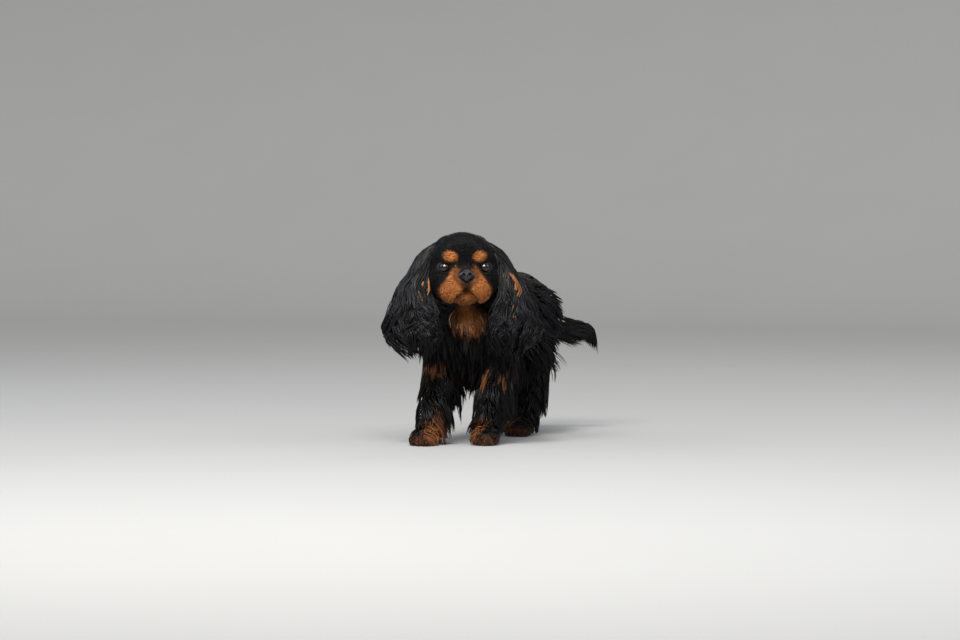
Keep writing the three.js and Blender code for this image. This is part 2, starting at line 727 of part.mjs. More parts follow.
// The feathering of a leg: tiers of locks round its bone, longest behind.
function featherLocks(name) {
  const { fore, joints } = LEGS[name];
  const s = name.endsWith("left") ? 1 : -1;
  const bone = new THREE.CatmullRomCurve3(joints.map((p) => vec(...p)));
  const tiers = fore ? [0.36, 0.54, 0.72, 0.88] : [0.4, 0.56, 0.72, 0.88];
  return tiers.flatMap((t, tier) =>
    [0, 1, 2, 3].map((i) => {
      const angle = ((i + (tier % 2) / 2) / 4) * Math.PI * 2;
      const behind = 0.5 + 0.5 * Math.cos(angle);
      return lockAt(bone.getPoint(t), vec(s * Math.sin(angle), Math.cos(angle), 0.05), {
        lie: vec(s * Math.sin(angle) * 0.2, 0.3 * behind, -1),
        length: nearly(lerp(42, 58, behind) * lerp(1, 0.6, tier / 3)),
        width: nearly(30),
        depth: 7,
        lift: lerp(9, 15, behind) * lerp(1, 0.5, tier / 3),
        droop: 0.6,
        wave: coatDraw(-0.25, 0.25),
      });
    }),
  );
}

const EAR_COAT = { around: 5, width: 54, depth: 7, sway: 0.08 };
const EAR_TIERS = [[0.03, 0.5], [0.27, 0.76], [0.5, 1]];
const earParts = Object.fromEntries(
  [["left", 1], ["right", -1]].map(([side, s]) => {
    const bell = earBell(s);
    const core = lofted({ ...bell, to: 0.62, share: 0.62, rings: 6, sides: 10 });
    const locks = bellLocks(bell, { ...EAR_COAT, tiers: EAR_TIERS, draw: seeded(20 + s) });
    const whole = joined([core, ...locks.map((lock) => lockOf(lock))]);
    return [`ear_${side}`, largestOf(whole.subtract(headCutter))];
  }),
);
const tailCoat = { around: 4, width: 24, depth: 5, sway: 0.15, draw: seeded(30) };
const tailCore = lofted({ ...tailPlume, to: 0.66, share: 0.55, rings: 6, sides: 8 });
const tailLocks = bellLocks(tailPlume, { ...tailCoat, tiers: [[0.04, 0.5], [0.3, 0.78], [0.54, 1]] });
const tailWhole = joined([tailCore, ...tailLocks.map((lock) => lockOf(lock))]);
const tailPart = largestOf(tailWhole.subtract(rumpCutter));

const ears = Object.values(earParts);
const neckDressed = dressed(neckPart, [...throatLocks, ...scruffLocks], [...ears, headPart, torsoPart]);
const torsoDressed = dressed(
  torsoPart,
  [...chestLocks, ...flankLocks, ...bellyLocks],
  [...ears, headPart, neckDressed, tailPart, ...Object.values(legParts)],
);
const legsDressed = {};
for (const name of Object.keys(LEGS)) {
  const others = Object.keys(LEGS).filter((other) => other !== name);
  const solids = others.map((other) => legsDressed[other] ?? legParts[other]);
  legsDressed[name] = dressed(legParts[name], featherLocks(name), [torsoDressed, ...ears, ...solids]);
}

const dog = new THREE.Group();
function addNode(name, solid, colour = COAT_BLACK, roughness = 0.6) {
  const mesh = new THREE.Mesh(toGeometry(largestOf(solid.simplify(TRIM))), material(colour, roughness));
  mesh.name = name;
  dog.add(mesh);
}

addNode("head", headPart);
addNode("neck", neckDressed);
addNode("torso", torsoDressed);
for (const [name, solid] of Object.entries({ ...legsDressed, ...earParts })) addNode(name, solid);
for (const [side, solid] of Object.entries(eyes)) addNode(`eye_${side}`, solid, EYE_BROWN, 0.08);
addNode("nose", nosePart(), NOSE_BLACK, 0.3);
addNode("tail", tailPart);

// The origin is on the floor, under the middle of the whole dog.
const extent = new THREE.Box3().setFromObject(dog);
const middle = extent.getCenter(vec());
dog.position.set(-middle.x, -middle.y, -extent.min.z);

export default dog;
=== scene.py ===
"""A cavalier king charles spaniel, black and tan, standing with its head turned a little to its left.

Lengths in the plan are millimetres: the dog faces -Y, its left side is +X and the floor is at Z 0. The plan
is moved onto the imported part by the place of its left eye, and every mesh is written in metres.
"""
from __future__ import annotations

import json
import logging
import math
from dataclasses import dataclass, field
from enum import Enum

import bpy
import numpy as np
from mathutils import Matrix, Vector, kdtree

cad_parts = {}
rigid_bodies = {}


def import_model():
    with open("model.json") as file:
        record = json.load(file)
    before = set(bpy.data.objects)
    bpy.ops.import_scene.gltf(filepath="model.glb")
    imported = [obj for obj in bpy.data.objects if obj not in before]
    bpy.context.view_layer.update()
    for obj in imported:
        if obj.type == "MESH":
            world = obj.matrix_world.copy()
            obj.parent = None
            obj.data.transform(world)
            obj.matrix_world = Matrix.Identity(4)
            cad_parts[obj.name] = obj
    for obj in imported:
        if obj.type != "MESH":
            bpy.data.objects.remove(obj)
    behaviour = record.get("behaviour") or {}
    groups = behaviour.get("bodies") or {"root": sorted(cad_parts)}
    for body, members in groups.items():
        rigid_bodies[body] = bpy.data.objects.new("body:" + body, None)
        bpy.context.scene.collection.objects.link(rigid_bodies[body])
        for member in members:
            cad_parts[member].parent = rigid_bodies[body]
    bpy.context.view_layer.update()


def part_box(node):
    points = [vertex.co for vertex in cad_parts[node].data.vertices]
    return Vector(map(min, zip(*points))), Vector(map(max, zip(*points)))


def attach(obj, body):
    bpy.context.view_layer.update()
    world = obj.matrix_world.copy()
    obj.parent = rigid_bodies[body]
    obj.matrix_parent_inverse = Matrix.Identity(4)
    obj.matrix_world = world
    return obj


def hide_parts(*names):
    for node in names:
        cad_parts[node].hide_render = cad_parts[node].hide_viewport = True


LOG = logging.getLogger("spaniel")
Array = np.ndarray
MM = 0.001
DOWN = np.array([0.0, 0.0, -1.0])
BACK = np.array([0.0, 1.0, 0.0])


class Side(Enum):
    """The dog's left or right, by the sign of X."""

    LEFT = 1
    RIGHT = -1

    @property
    def word(self) -> str:
        """The side's name in a node's name."""
        return self.name.lower()


def unit(v: Array) -> Array:
    """Rows of v scaled to length 1."""
    return v / np.maximum(np.linalg.norm(v, axis=-1, keepdims=True), 1e-9)


def step_up(x: Array, low: float, high: float) -> Array:
    """A smooth step of x from 0 at low to 1 at high, which may lie either way round."""
    t = np.clip((x - low) / (high - low), 0.0, 1.0)
    return t * t * (3 - 2 * t)


def mix(a: Array, b: Array, share: Array) -> Array:
    """a where share is 0 and b where it is 1."""
    return a + (b - a) * share


def smooth_curve(rows: Array, t: Array) -> Array:
    """A Catmull-Rom curve through evenly spaced rows.

    Args:
        rows: the knots, one in each row.
        t: places along it, from 0 to 1.

    Returns:
        One row for each t.
    """
    rows = np.asarray(rows, float)
    padded = np.vstack([2 * rows[0] - rows[1], rows, 2 * rows[-1] - rows[-2]])
    at = np.clip(t, 0, 1) * (len(rows) - 1)
    i = np.minimum(at.astype(int), len(rows) - 2)
    u = (at - i)[..., None]
    p0, p1, p2, p3 = (padded[i + k] for k in range(4))
    square, cube = 2 * p0 - 5 * p1 + 4 * p2 - p3, 3 * p1 - p0 - 3 * p2 + p3
    return (2 * p1 + (p2 - p0) * u + square * u**2 + cube * u**3) / 2


@dataclass(frozen=True)
class Ball:
    """A rounded form: a ball with its own radius along each axis."""

    centre: tuple[float, float, float]
    radii: tuple[float, float, float]

    def distance(self, p: Array) -> Array:
        """About how far points lie outside the form."""
        radii = np.array(self.radii)
        q = (p - np.array(self.centre)) / radii
        k0 = np.linalg.norm(q, axis=1)
        k1 = np.linalg.norm(q / radii, axis=1)
        return k0 * (k0 - 1) / np.maximum(k1, 1e-9)


@dataclass(frozen=True)
class Limb:
    """A tapered form with round ends."""

    start: tuple[float, float, float]
    end: tuple[float, float, float]
    start_radius: float
    end_radius: float

    def distance(self, p: Array) -> Array:
        """About how far points lie outside the form."""
        a, b = np.array(self.start, float), np.array(self.end, float)
        t = np.clip((p - a) @ (b - a) / ((b - a) @ (b - a)), 0, 1)
        radius = mix(self.start_radius, self.end_radius, t)
        return np.linalg.norm(p - a - t[:, None] * (b - a), axis=1) - radius


def blended(forms: list[Ball | Limb], width: float, p: Array) -> Array:
    """The distance to forms that meet in fillets of about a width."""
    found = np.full(len(p), 1e6)
    for form in forms:
        d = form.distance(p)
        h = np.maximum(width - np.abs(found - d), 0) / width
        found = np.minimum(found, d) - h * h * width / 4
    return found


@dataclass
class HeadPlan:
    """The head in its own frame: midway between the eyes is its origin, -Y is forward.

    Attributes:
        place: the origin in the plan.
        yaw: how far the head is turned to its left, in degrees.
        pitch: how far it is raised.
        eye_x: the middle of an eye from the middle of the face.
        eye_radius: half an eyeball.
        eye_depth: the Y of its middle.
        lid_opening: half the width and height of the opening of the lids.
        lid_tilt: how far that is tilted, in degrees.
        muzzle_front: the Y of the front of the muzzle.
        nose_radii: half the width, depth and height of the nose.
        lip_width: how far the line of the mouth reaches to each side.
        lip_top: the Z of its middle.
        lip_corner: the Z of its corners.
        lip_bow: the power of the curve between them.
        chin_tuck: how far the chin sits back under the upper lips.
        blend: the width of the fillets between the forms.
        turn: from the head's frame to the plan.
    """

    place: tuple[float, float, float] = (29, -212, 300)
    yaw: float = 25
    pitch: float = 8
    eye_x: float = 33
    eye_radius: float = 10.4
    eye_depth: float = -3
    lid_opening: tuple[float, float] = (10.5, 10.0)
    lid_tilt: float = 10
    muzzle_front: float = -38
    nose_radii: tuple[float, float, float] = (13.5, 9, 10.5)
    lip_width: float = 21.5
    lip_top: float = -39.5
    lip_corner: float = -55.5
    lip_bow: float = 1.4
    chin_tuck: float = 4.2
    blend: float = 14
    turn: Matrix = field(init=False)

    def __post_init__(self) -> None:
        """Sets the turn from the head's frame to the plan."""
        yaw = Matrix.Rotation(math.radians(self.yaw), 4, "Z")
        pitch = Matrix.Rotation(math.radians(-self.pitch), 4, "X")
        self.turn = Matrix.Translation(self.place) @ yaw @ pitch

    @property
    def nose(self) -> tuple[float, float, float]:
        """The middle of the nose leather."""
        return (0, self.muzzle_front - 3, -17)

    @property
    def forms(self) -> list[Ball | Limb]:
        """The rounded forms: skull, forehead, face and bridge; brows, cheeks and lips; chin and throat."""
        front = self.muzzle_front
        found: list[Ball | Limb] = [
            Ball((0, 42, 12), (52, 56, 51)),
            Ball((0, 14, 20), (46, 30, 32)),
            Ball((0, 22, -16), (50, 36, 34)),
            Limb((0, 6, -8), (0, front + 13, -19), 21, 17),
        ]
        for s in (-1, 1):
            found += [
                Ball((s * 24, 0, 14), (14, 9, 10)),
                Ball((s * 32, 22, -22), (24, 36, 32)),
                Ball((s * 17, front + 17, -34), (19, 21, 18)),
                Ball((s * 23, front + 26, -45), (16, 19, 14)),
            ]
        return found + [Ball((0, front + 19, -53), (14, 15, 10)), Limb((0, 34, -36), (0, -6, -46), 24, 13)]

    def inwards(self, p: Array) -> Array:
        """Points of the plan in the frame of the head."""
        turn = np.array(self.turn)
        return (p - turn[:3, 3]) @ turn[:3, :3]

    def outwards(self, p: Array) -> Array:
        """Points in the frame of the head as points of the plan."""
        turn = np.array(self.turn)
        return p @ turn[:3, :3].T + turn[:3, 3]

    def aim(self, v: Array) -> Array:
        """Directions in the frame of the head as directions of the plan."""
        return v @ np.array(self.turn)[:3, :3].T

    def distance(self, p: Array) -> Array:
        """The distance to the skin for points in the head's own frame."""
        return blended(self.forms, self.blend, p) + self.chin_tuck * self.tucked(p)

    def tucked(self, p: Array) -> Array:
        """1 on the chin, which sits back under the upper lips."""
        x, y, z = np.abs(p[:, 0]), p[:, 1], p[:, 2]
        lip = mix(self.lip_top, self.lip_corner, np.clip(x / self.lip_width, 0, 1) ** self.lip_bow)
        under, between = step_up(z - lip, 0.0, -3.0), step_up(x, 25, 20)
        ahead, over = step_up(y, 0, -12), step_up(z, -74, -66)
        return under * between * ahead * over

    def front(self, x: Array, z: Array, sunk: float = 0) -> Array:
        """The Y at which a line from in front meets the face, at each X and Z."""
        start, stop, rounds, pace = -75.0, 30, 60, 0.8
        y = np.full(x.shape, start)
        for _ in range(rounds):
            d = self.distance(np.column_stack([x, y, z])) + sunk
            y = np.where(y < stop, y + np.clip(d * pace, -2, 6), y)
        return y

    def lip(self, u: Array) -> tuple[Array, Array]:
        """X and Z of the line of the mouth, from one corner at u -1 to the other at 1."""
        return u * self.lip_width, mix(self.lip_top, self.lip_corner, np.abs(u) ** self.lip_bow)

    def off_mouth(self, head: Array) -> tuple[Array, Array]:
        """How far points lie from the line of the mouth, seen from in front, and which lie above it."""
        lip_x, lip_z = self.lip(np.linspace(-1, 1, 61))
        gap = np.hypot(head[:, 0, None] - lip_x, head[:, 2, None] - lip_z)
        return gap.min(axis=1), head[:, 2] > lip_z[gap.argmin(axis=1)]


@dataclass(frozen=True)
class LegPlan:
    """A leg's joints from the body down, and the place of its paw."""

    fore: bool
    joints: tuple[tuple[float, float, float], ...]
    paw: tuple[float, float]


@dataclass
class BodyPlan:
    """The sizes and forms of the trunk and legs.

    Attributes:
        withers: the height of the back over the shoulders.
        croup: the height of the back over the hips.
        brisket: the height of the lowest part of the chest.
        chest_width: how wide the chest is.
        loin_width: how wide the loin is.
        leg_radius: half the thickness of a lower leg.
        paw_width: how wide a paw is.
        legs: the plan of each leg, by the name of its node.
    """

    withers: float = 300
    croup: float = 284
    brisket: float = 160
    chest_width: float = 128
    loin_width: float = 114
    leg_radius: float = 13
    paw_width: float = 40
    legs: dict[str, LegPlan] = field(
        default_factory=lambda: {
            "leg_front_right": LegPlan(
                True, ((-44, -112, 205), (-50, -104, 158), (-50, -156, 66), (-50, -176, 27)), (-50, -190)
            ),
            "leg_front_left": LegPlan(
                True, ((44, -112, 205), (49, -94, 158), (45, -124, 70), (43, -134, 30)), (43, -146)
            ),
            "leg_hind_left": LegPlan(
                False, ((40, 122, 222), (46, 80, 158), (38, 104, 74), (31, 78, 26)), (30, 64)
            ),
            "leg_hind_right": LegPlan(
                False, ((-40, 122, 222), (-47, 104, 156), (-42, 172, 78), (-39, 168, 28)), (-38, 156)
            ),
        }
    )

    def toes(self, leg: LegPlan) -> list[Ball]:
        """The four toes of a paw."""
        x, y = leg.paw
        step = self.paw_width * 0.23
        return [Ball((x + i * step, y - 14 + abs(i) * 4, 10), (6.5, 12, 10)) for i in (-1.5, -0.5, 0.5, 1.5)]

    def leg_forms(self, leg: LegPlan) -> list[Ball | Limb]:
        """The rounded forms of a leg and its paw."""
        r = self.leg_radius
        radii = (30, r + 9, r + 2, r + 1) if leg.fore else (38, r + 14, r + 3, r)
        limbs: list[Ball | Limb] = [
            Limb(a, b, ra, rb) for a, b, ra, rb in zip(leg.joints, leg.joints[1:], radii, radii[1:])
        ]
        x, y = leg.paw
        return limbs + [Ball((x, y, 13), (self.paw_width / 2, 21, 14))] + self.toes(leg)

    @property
    def forms(self) -> list[Ball | Limb]:
        """The rounded forms of the trunk, the neck and the legs."""
        chest = (self.withers + self.brisket) / 2
        found: list[Ball | Limb] = [
            Ball((0, -50, chest), (self.chest_width / 2, 118, (self.withers - self.brisket) / 2)),
            Ball((0, -122, 218), (52, 46, 56)),
            Ball((0, 62, self.croup - 52), (self.loin_width / 2, 98, 54)),
            Ball((0, 132, self.croup - 50), (52, 52, 50)),
        ]
        for s in (-1, 1):
            found += [Ball((s * 44, -98, 215), (26, 42, 62)), Ball((s * 35, 124, 200), (24, 46, 54))]
        found.append(Limb((0, -116, 250), (10, -166, 290), 56, 47))
        for leg in self.legs.values():
            found += self.leg_forms(leg)
        return found


@dataclass
class Flesh:
    """The whole of the body and head as one smooth field, in the plan.

    Attributes:
        head: the plan of the head.
        body: the plan of the trunk and legs.
        body_blend: the width of the fillets of the trunk and legs.
        neck_blend: the width of the fillet between body and head.
        head_low: the height under which the head takes no part.
        probe: the step over which a slope is measured.
    """

    head: HeadPlan = field(default_factory=HeadPlan)
    body: BodyPlan = field(default_factory=BodyPlan)
    body_blend: float = 16
    neck_blend: float = 18
    head_low: float = 180
    probe: float = 0.6

    def distance(self, p: Array) -> Array:
        """How far points lie outside the coat of the short-haired parts."""
        a = blended(self.body.forms, self.body_blend, p)
        b = self.head.distance(self.head.inwards(p))
        h = np.maximum(self.neck_blend - np.abs(a - b), 0) / self.neck_blend
        return np.where(p[:, 2] < self.head_low, a, np.minimum(a, b) - h * h * self.neck_blend / 4)

    def slope(self, p: Array, distance: Array | None = None) -> Array:
        """The outward direction at points."""
        here = self.distance(p) if distance is None else distance
        return unit(np.column_stack([self.distance(p + self.probe * axis) - here for axis in np.eye(3)]))

    def draw_onto(self, p: Array, sunk: Array, rounds: int = 4) -> Array:
        """Moves points onto the surface that lies a depth inside the field.

        Args:
            p: points near it.
            sunk: the depth at each point.
            rounds: how often they are moved.

        Returns:
            The moved points.
        """
        for _ in range(rounds):
            d = self.distance(p)
            p = p - self.slope(p, d) * np.clip(d + sunk, -4, 4)[:, None]
        return p


@dataclass
class Markings:
    """The tan markings, by place in the plan, for skin and coat alike.

    Attributes:
        flesh: what they lie on.
        brow: the X and Z of the spot over an eye, in the head's frame.
        brow_radii: half its length and height.
        brow_turn: how far it is turned, in degrees.
        throat_place: the middle of the spot on the throat.
        throat_radii: its radii.
        patches: the middle and radii of each patch on the chest and under the tail.
        leg_radii: the radii of the stripe inside each leg.
        paw_radii: the radii of the spot on each paw.
    """

    flesh: Flesh
    brow: tuple[float, float] = (21.5, 16.5)
    brow_radii: tuple[float, float] = (10.5, 7.0)
    brow_turn: float = 23
    throat_place: tuple[float, float, float] = (25, -186, 228)
    throat_radii: tuple[float, float, float] = (23, 40, 14)
    patches: tuple[tuple[tuple[float, float, float], tuple[float, float, float]], ...] = (
        ((-52, -160, 172), (20, 40, 24)),
        ((0, -172, 172), (19, 30, 15)),
        ((60, -140, 168), (15, 30, 15)),
        ((0, 196, 205), (20, 24, 22)),
    )
    leg_radii: tuple[float, float, float] = (15, 34, 46)
    paw_radii: tuple[float, float, float] = (22, 24, 13)

    @staticmethod
    def spot(p: Array, centre: tuple[float, ...], radii: tuple[float, ...], soft: float) -> Array:
        """1 inside a rounded spot and 0 outside it, with a soft edge."""
        r = np.linalg.norm((p - np.array(centre)) / np.array(radii), axis=1)
        return 1 - step_up(r, 1 - soft, 1 + soft)

    def brows(self, head: Array) -> Array:
        """1 on the spots over the eyes."""
        x, z = np.abs(head[:, 0]) - self.brow[0], head[:, 2] - self.brow[1]
        turn = math.radians(self.brow_turn)
        along = x * math.cos(turn) + z * math.sin(turn)
        up = z * math.cos(turn) - x * math.sin(turn)
        reach = np.hypot(along / self.brow_radii[0], up / self.brow_radii[1])
        return step_up(reach, 1.4, 0.55) * (head[:, 1] < 14)

    def muzzle(self, head: Array) -> Array:
        """How tan the muzzle is: black over the nose, and dim round it, down its groove and on the chin."""
        x, y, z = np.abs(head[:, 0]), head[:, 1], head[:, 2]
        edge = -3 - 26 * step_up(x, 12, 34) - 0.3 * np.maximum(x - 34, 0)
        found = 1 / (1 + np.exp(np.clip((z - edge) / 2.2, -30, 30)))
        found *= step_up(y, 12, -4) * step_up(x, 48, 34)
        bridge = 1 - step_up(x, 13, 8) * step_up(z, -9, -5)
        groove = 1 - 0.85 * np.exp(-((x / 8) ** 4)) * step_up(z, -45, -40)
        soot = 1 - 0.6 * step_up(np.hypot(x, (z + 19) * 1.1), 23, 15)
        chin = 1 - 0.42 * self.flesh.head.tucked(head)
        return found * bridge * groove * soot * chin

    def leg(self, p: Array, leg: LegPlan) -> Array:
        """How tan a leg is: inside it and, less so, on its paw."""
        x, y = leg.paw
        inner = self.spot(p, (x - math.copysign(16, x), y + 6, 34), self.leg_radii, 0.4)
        paw = self.spot(p, (x, y - 10, 4), self.paw_radii, 0.5)
        return np.maximum(inner * 0.9, paw * 0.4)

    def tan(self, p: Array) -> Array:
        """How tan the coat is at points of the plan, from 0, black, to 1."""
        head = self.flesh.head.inwards(p)
        near = step_up(np.linalg.norm(head - np.array([0, 10, -10]), axis=1), 105, 92)
        x, z = head[:, 0], head[:, 2]
        ruffle = 0.9 + 0.1 * np.sin(x * 0.7 + 2.6 * np.sin(z * 0.45 + 1.0) + 1.7 * np.sin(np.abs(x) * 0.31))
        found = near * np.maximum(self.brows(head) * 0.95, self.muzzle(head)) * ruffle
        found = np.maximum(found, self.throat(p) * 0.95)
        for centre, radii in self.patches:
            found = np.maximum(found, self.spot(p, centre, radii, 0.5) * 0.9)
        for leg in self.flesh.body.legs.values():
            found = np.maximum(found, self.leg(p, leg))
        return np.clip(found, 0, 1)

    def throat(self, p: Array) -> Array:
        """1 on the tan spot of the throat."""
        return self.spot(p, self.throat_place, self.throat_radii, 0.5)

    def rust(self, p: Array) -> Array:
        """How deep and red the tan is, from 0 on the muzzle to 1 on cheeks, chest and legs."""
        head = self.flesh.head.inwards(p)
        away = step_up(np.linalg.norm(head - np.array([0, -28, -30]), axis=1), 24, 50)
        away = away * (1 - 0.85 * step_up(head[:, 2], -2, 8))
        return np.clip(away * (1 - 0.8 * self.throat(p)), 0, 1)


# Finishes


@dataclass(frozen=True)
class Colour:
    """A linear colour."""

    r: float
    g: float
    b: float

    @property
    def rgba(self) -> tuple[float, float, float, float]:
        """The colour with full cover."""
        return (self.r, self.g, self.b, 1.0)


class Nodes:
    """Lays out the nodes of one material."""

    def __init__(self, name: str) -> None:
        """Starts a material with a bare shader."""
        self.material = bpy.data.materials.new(name)
        self.material.use_nodes = True
        self.tree = self.material.node_tree
        self.shader = self.tree.nodes["Principled BSDF"]

    def add(self, kind: str, **settings: object) -> bpy.types.Node:
        """Adds a node and sets its properties."""
        node = self.tree.nodes.new(kind)
        for key, value in settings.items():
            setattr(node, key, value)
        return node

    def join(self, start: bpy.types.NodeSocket, end: bpy.types.NodeSocket) -> None:
        """Links an output to an input."""
        self.tree.links.new(start, end)

    def attribute(self, name: str) -> bpy.types.NodeSocket:
        """The value that a mesh carries at its points."""
        return self.add("ShaderNodeAttribute", attribute_name=name).outputs["Fac"]

    def blend(
        self, share: bpy.types.NodeSocket, a: Colour | bpy.types.NodeSocket, b: Colour | bpy.types.NodeSocket
    ) -> bpy.types.NodeSocket:
        """A colour between a and b by share."""
        node = self.add("ShaderNodeMix", data_type="RGBA")
        self.join(share, node.inputs[0])
        for value, socket in ((a, node.inputs[6]), (b, node.inputs[7])):
            if isinstance(value, Colour):
                socket.default_value = value.rgba
            else:
                self.join(value, socket)
        return node.outputs[2]

    def noise(self, scale: float, detail: float = 3) -> bpy.types.NodeSocket:
        """A fine noise on the object's own coordinates."""
        place = self.add("ShaderNodeTexCoord").outputs["Object"]
        node = self.add("ShaderNodeTexNoise")
        node.inputs["Scale"].default_value = scale
        node.inputs["Detail"].default_value = detail
        self.join(place, node.inputs["Vector"])
        return node.outputs["Fac"]

    def bump(self, height: bpy.types.NodeSocket, distance: float, strength: float = 0.6) -> None:
        """Roughens the surface by a height."""
        node = self.add("ShaderNodeBump")
        node.inputs["Distance"].default_value = distance
        node.inputs["Strength"].default_value = strength
        self.join(height, node.inputs["Height"])
        self.join(node.outputs["Normal"], self.shader.inputs["Normal"])

    def set(self, **values: float | tuple) -> None:
        """Sets the shader's own sockets, with _ for a space in a name."""
        for key, value in values.items():
            self.shader.inputs[key.replace("_", " ")].default_value = value


@dataclass(frozen=True)
class CoatFinish:
    """The silky coat: black with a cool gloss, and tan where the mesh says so.

    Attributes:
        name: the material's name.
        black: the black at the roots.
        black_tip: the black at the tips.
        tan: the tan at the roots.
        tan_tip: the tan at the tips.
        rust: the deeper tan at the roots.
        rust_tip: the deeper tan at the tips.
        cream: the colour of the palest strands.
        roughness: how broad the gloss is.
        gloss: how strong it is.
        grain: how fine the bumps of the skin are.
        bump_height: how high they are, or 0 for none.
    """

    name: str
    black: Colour = Colour(0.0018, 0.0018, 0.0023)
    black_tip: Colour = Colour(0.0042, 0.004, 0.005)
    tan: Colour = Colour(0.32, 0.092, 0.021)
    tan_tip: Colour = Colour(0.82, 0.31, 0.085)
    rust: Colour = Colour(0.12, 0.036, 0.013)
    rust_tip: Colour = Colour(0.44, 0.165, 0.055)
    cream: Colour = Colour(0.62, 0.47, 0.31)
    roughness: float = 0.34
    gloss: float = 0.19
    grain: float = 900
    bump_height: float = 0.0

    def make(self) -> bpy.types.Material:
        """Makes the material."""
        n = Nodes(self.name)
        shade = n.attribute("shade")
        black = n.blend(shade, self.black, self.black_tip)
        tan = n.blend(shade, self.tan, self.tan_tip)
        rust = n.blend(shade, self.rust, self.rust_tip)
        warm = n.blend(n.attribute("rust"), tan, rust)
        coat = n.blend(n.attribute("tan"), black, warm)
        coat = n.blend(n.attribute("cream"), coat, self.cream)
        n.join(coat, n.shader.inputs["Base Color"])
        n.set(Roughness=self.roughness, IOR=1.47, Specular_IOR_Level=self.gloss)
        if self.bump_height:
            n.bump(n.noise(self.grain, 2), self.bump_height)
        return n.material


@dataclass(frozen=True)
class LeatherFinish:
    """Bare black skin, as on the nose and the rims of the lids.

    Attributes:
        name: the material's name.
        base: the darker colour.
        worn: the lighter colour.
        roughness: how broad the gloss is.
        gloss: how strong it is.
        wet: the share of a wet layer over it.
        pebble: how fine the pebbles are.
        height: how high they are.
    """

    name: str
    base: Colour = Colour(0.006, 0.006, 0.0072)
    worn: Colour = Colour(0.017, 0.017, 0.021)
    roughness: float = 0.32
    gloss: float = 0.5
    wet: float = 0.25
    pebble: float = 620
    height: float = 0.0006

    def make(self) -> bpy.types.Material:
        """Makes the material."""
        n = Nodes(self.name)
        place = n.add("ShaderNodeTexCoord").outputs["Object"]
        cells = n.add("ShaderNodeTexVoronoi")
        cells.inputs["Scale"].default_value = self.pebble
        n.join(place, cells.inputs["Vector"])
        n.join(n.blend(n.noise(160), self.base, self.worn), n.shader.inputs["Base Color"])
        n.bump(cells.outputs["Distance"], self.height, 0.7)
        n.set(Roughness=self.roughness, Specular_IOR_Level=self.gloss)
        n.set(Coat_Weight=self.wet, Coat_Roughness=0.2)
        return n.material


@dataclass(frozen=True)
class EyeFinish:
    """A dark brown iris with a black pupil, under a wet cornea.

    Attributes:
        name: the material's name.
        gaze: the middle of the pupil.
        pupil: the colour of the pupil.
        iris: the colour round it.
        limbus: the dark ring round that.
        white: the colour of the rest.
        reach: the distance from the middle of the pupil at which the colours end, in metres.
    """

    name: str
    gaze: tuple[float, float, float]
    pupil: Colour = Colour(0.0015, 0.0012, 0.001)
    iris: Colour = Colour(0.014, 0.0052, 0.0024)
    limbus: Colour = Colour(0.0022, 0.0015, 0.0013)
    white: Colour = Colour(0.03, 0.021, 0.019)
    reach: float = 0.012

    def make(self) -> bpy.types.Material:
        """Makes the material."""
        n = Nodes(self.name)
        place = n.add("ShaderNodeTexCoord").outputs["Object"]
        away = n.add("ShaderNodeVectorMath", operation="DISTANCE")
        away.inputs[1].default_value = self.gaze
        n.join(place, away.inputs[0])
        ramp = n.add("ShaderNodeValToRGB")
        scaled = n.add("ShaderNodeMath", operation="MULTIPLY")
        scaled.inputs[1].default_value = 1 / self.reach
        n.join(away.outputs["Value"], scaled.inputs[0])
        n.join(scaled.outputs[0], ramp.inputs["Fac"])
        stops = [(0.0, self.pupil), (0.3, self.pupil), (0.36, self.iris), (0.56, self.iris)]
        stops += [(0.7, self.limbus), (0.76, self.limbus), (0.86, self.white)]
        ramp.color_ramp.elements[0].position = stops[0][0]
        ramp.color_ramp.elements[1].position = stops[-1][0]
        for at, _ in stops[1:-1]:
            ramp.color_ramp.elements.new(at)
        for element, (_, colour) in zip(ramp.color_ramp.elements, stops):
            element.color = colour.rgba
        n.join(ramp.outputs["Color"], n.shader.inputs["Base Color"])
        n.set(Roughness=0.05, IOR=1.6)
        return n.material


@dataclass(frozen=True)
class PlainFinish:
    """A plain surface with a little variation."""

    name: str
    base: Colour
    worn: Colour
    roughness: float
    scale: float = 60

    def make(self) -> bpy.types.Material:
        """Makes the material."""
        n = Nodes(self.name)
        n.join(n.blend(n.noise(self.scale), self.base, self.worn), n.shader.inputs["Base Color"])
        n.set(Roughness=self.roughness)
        return n.material


# Mesh helpers


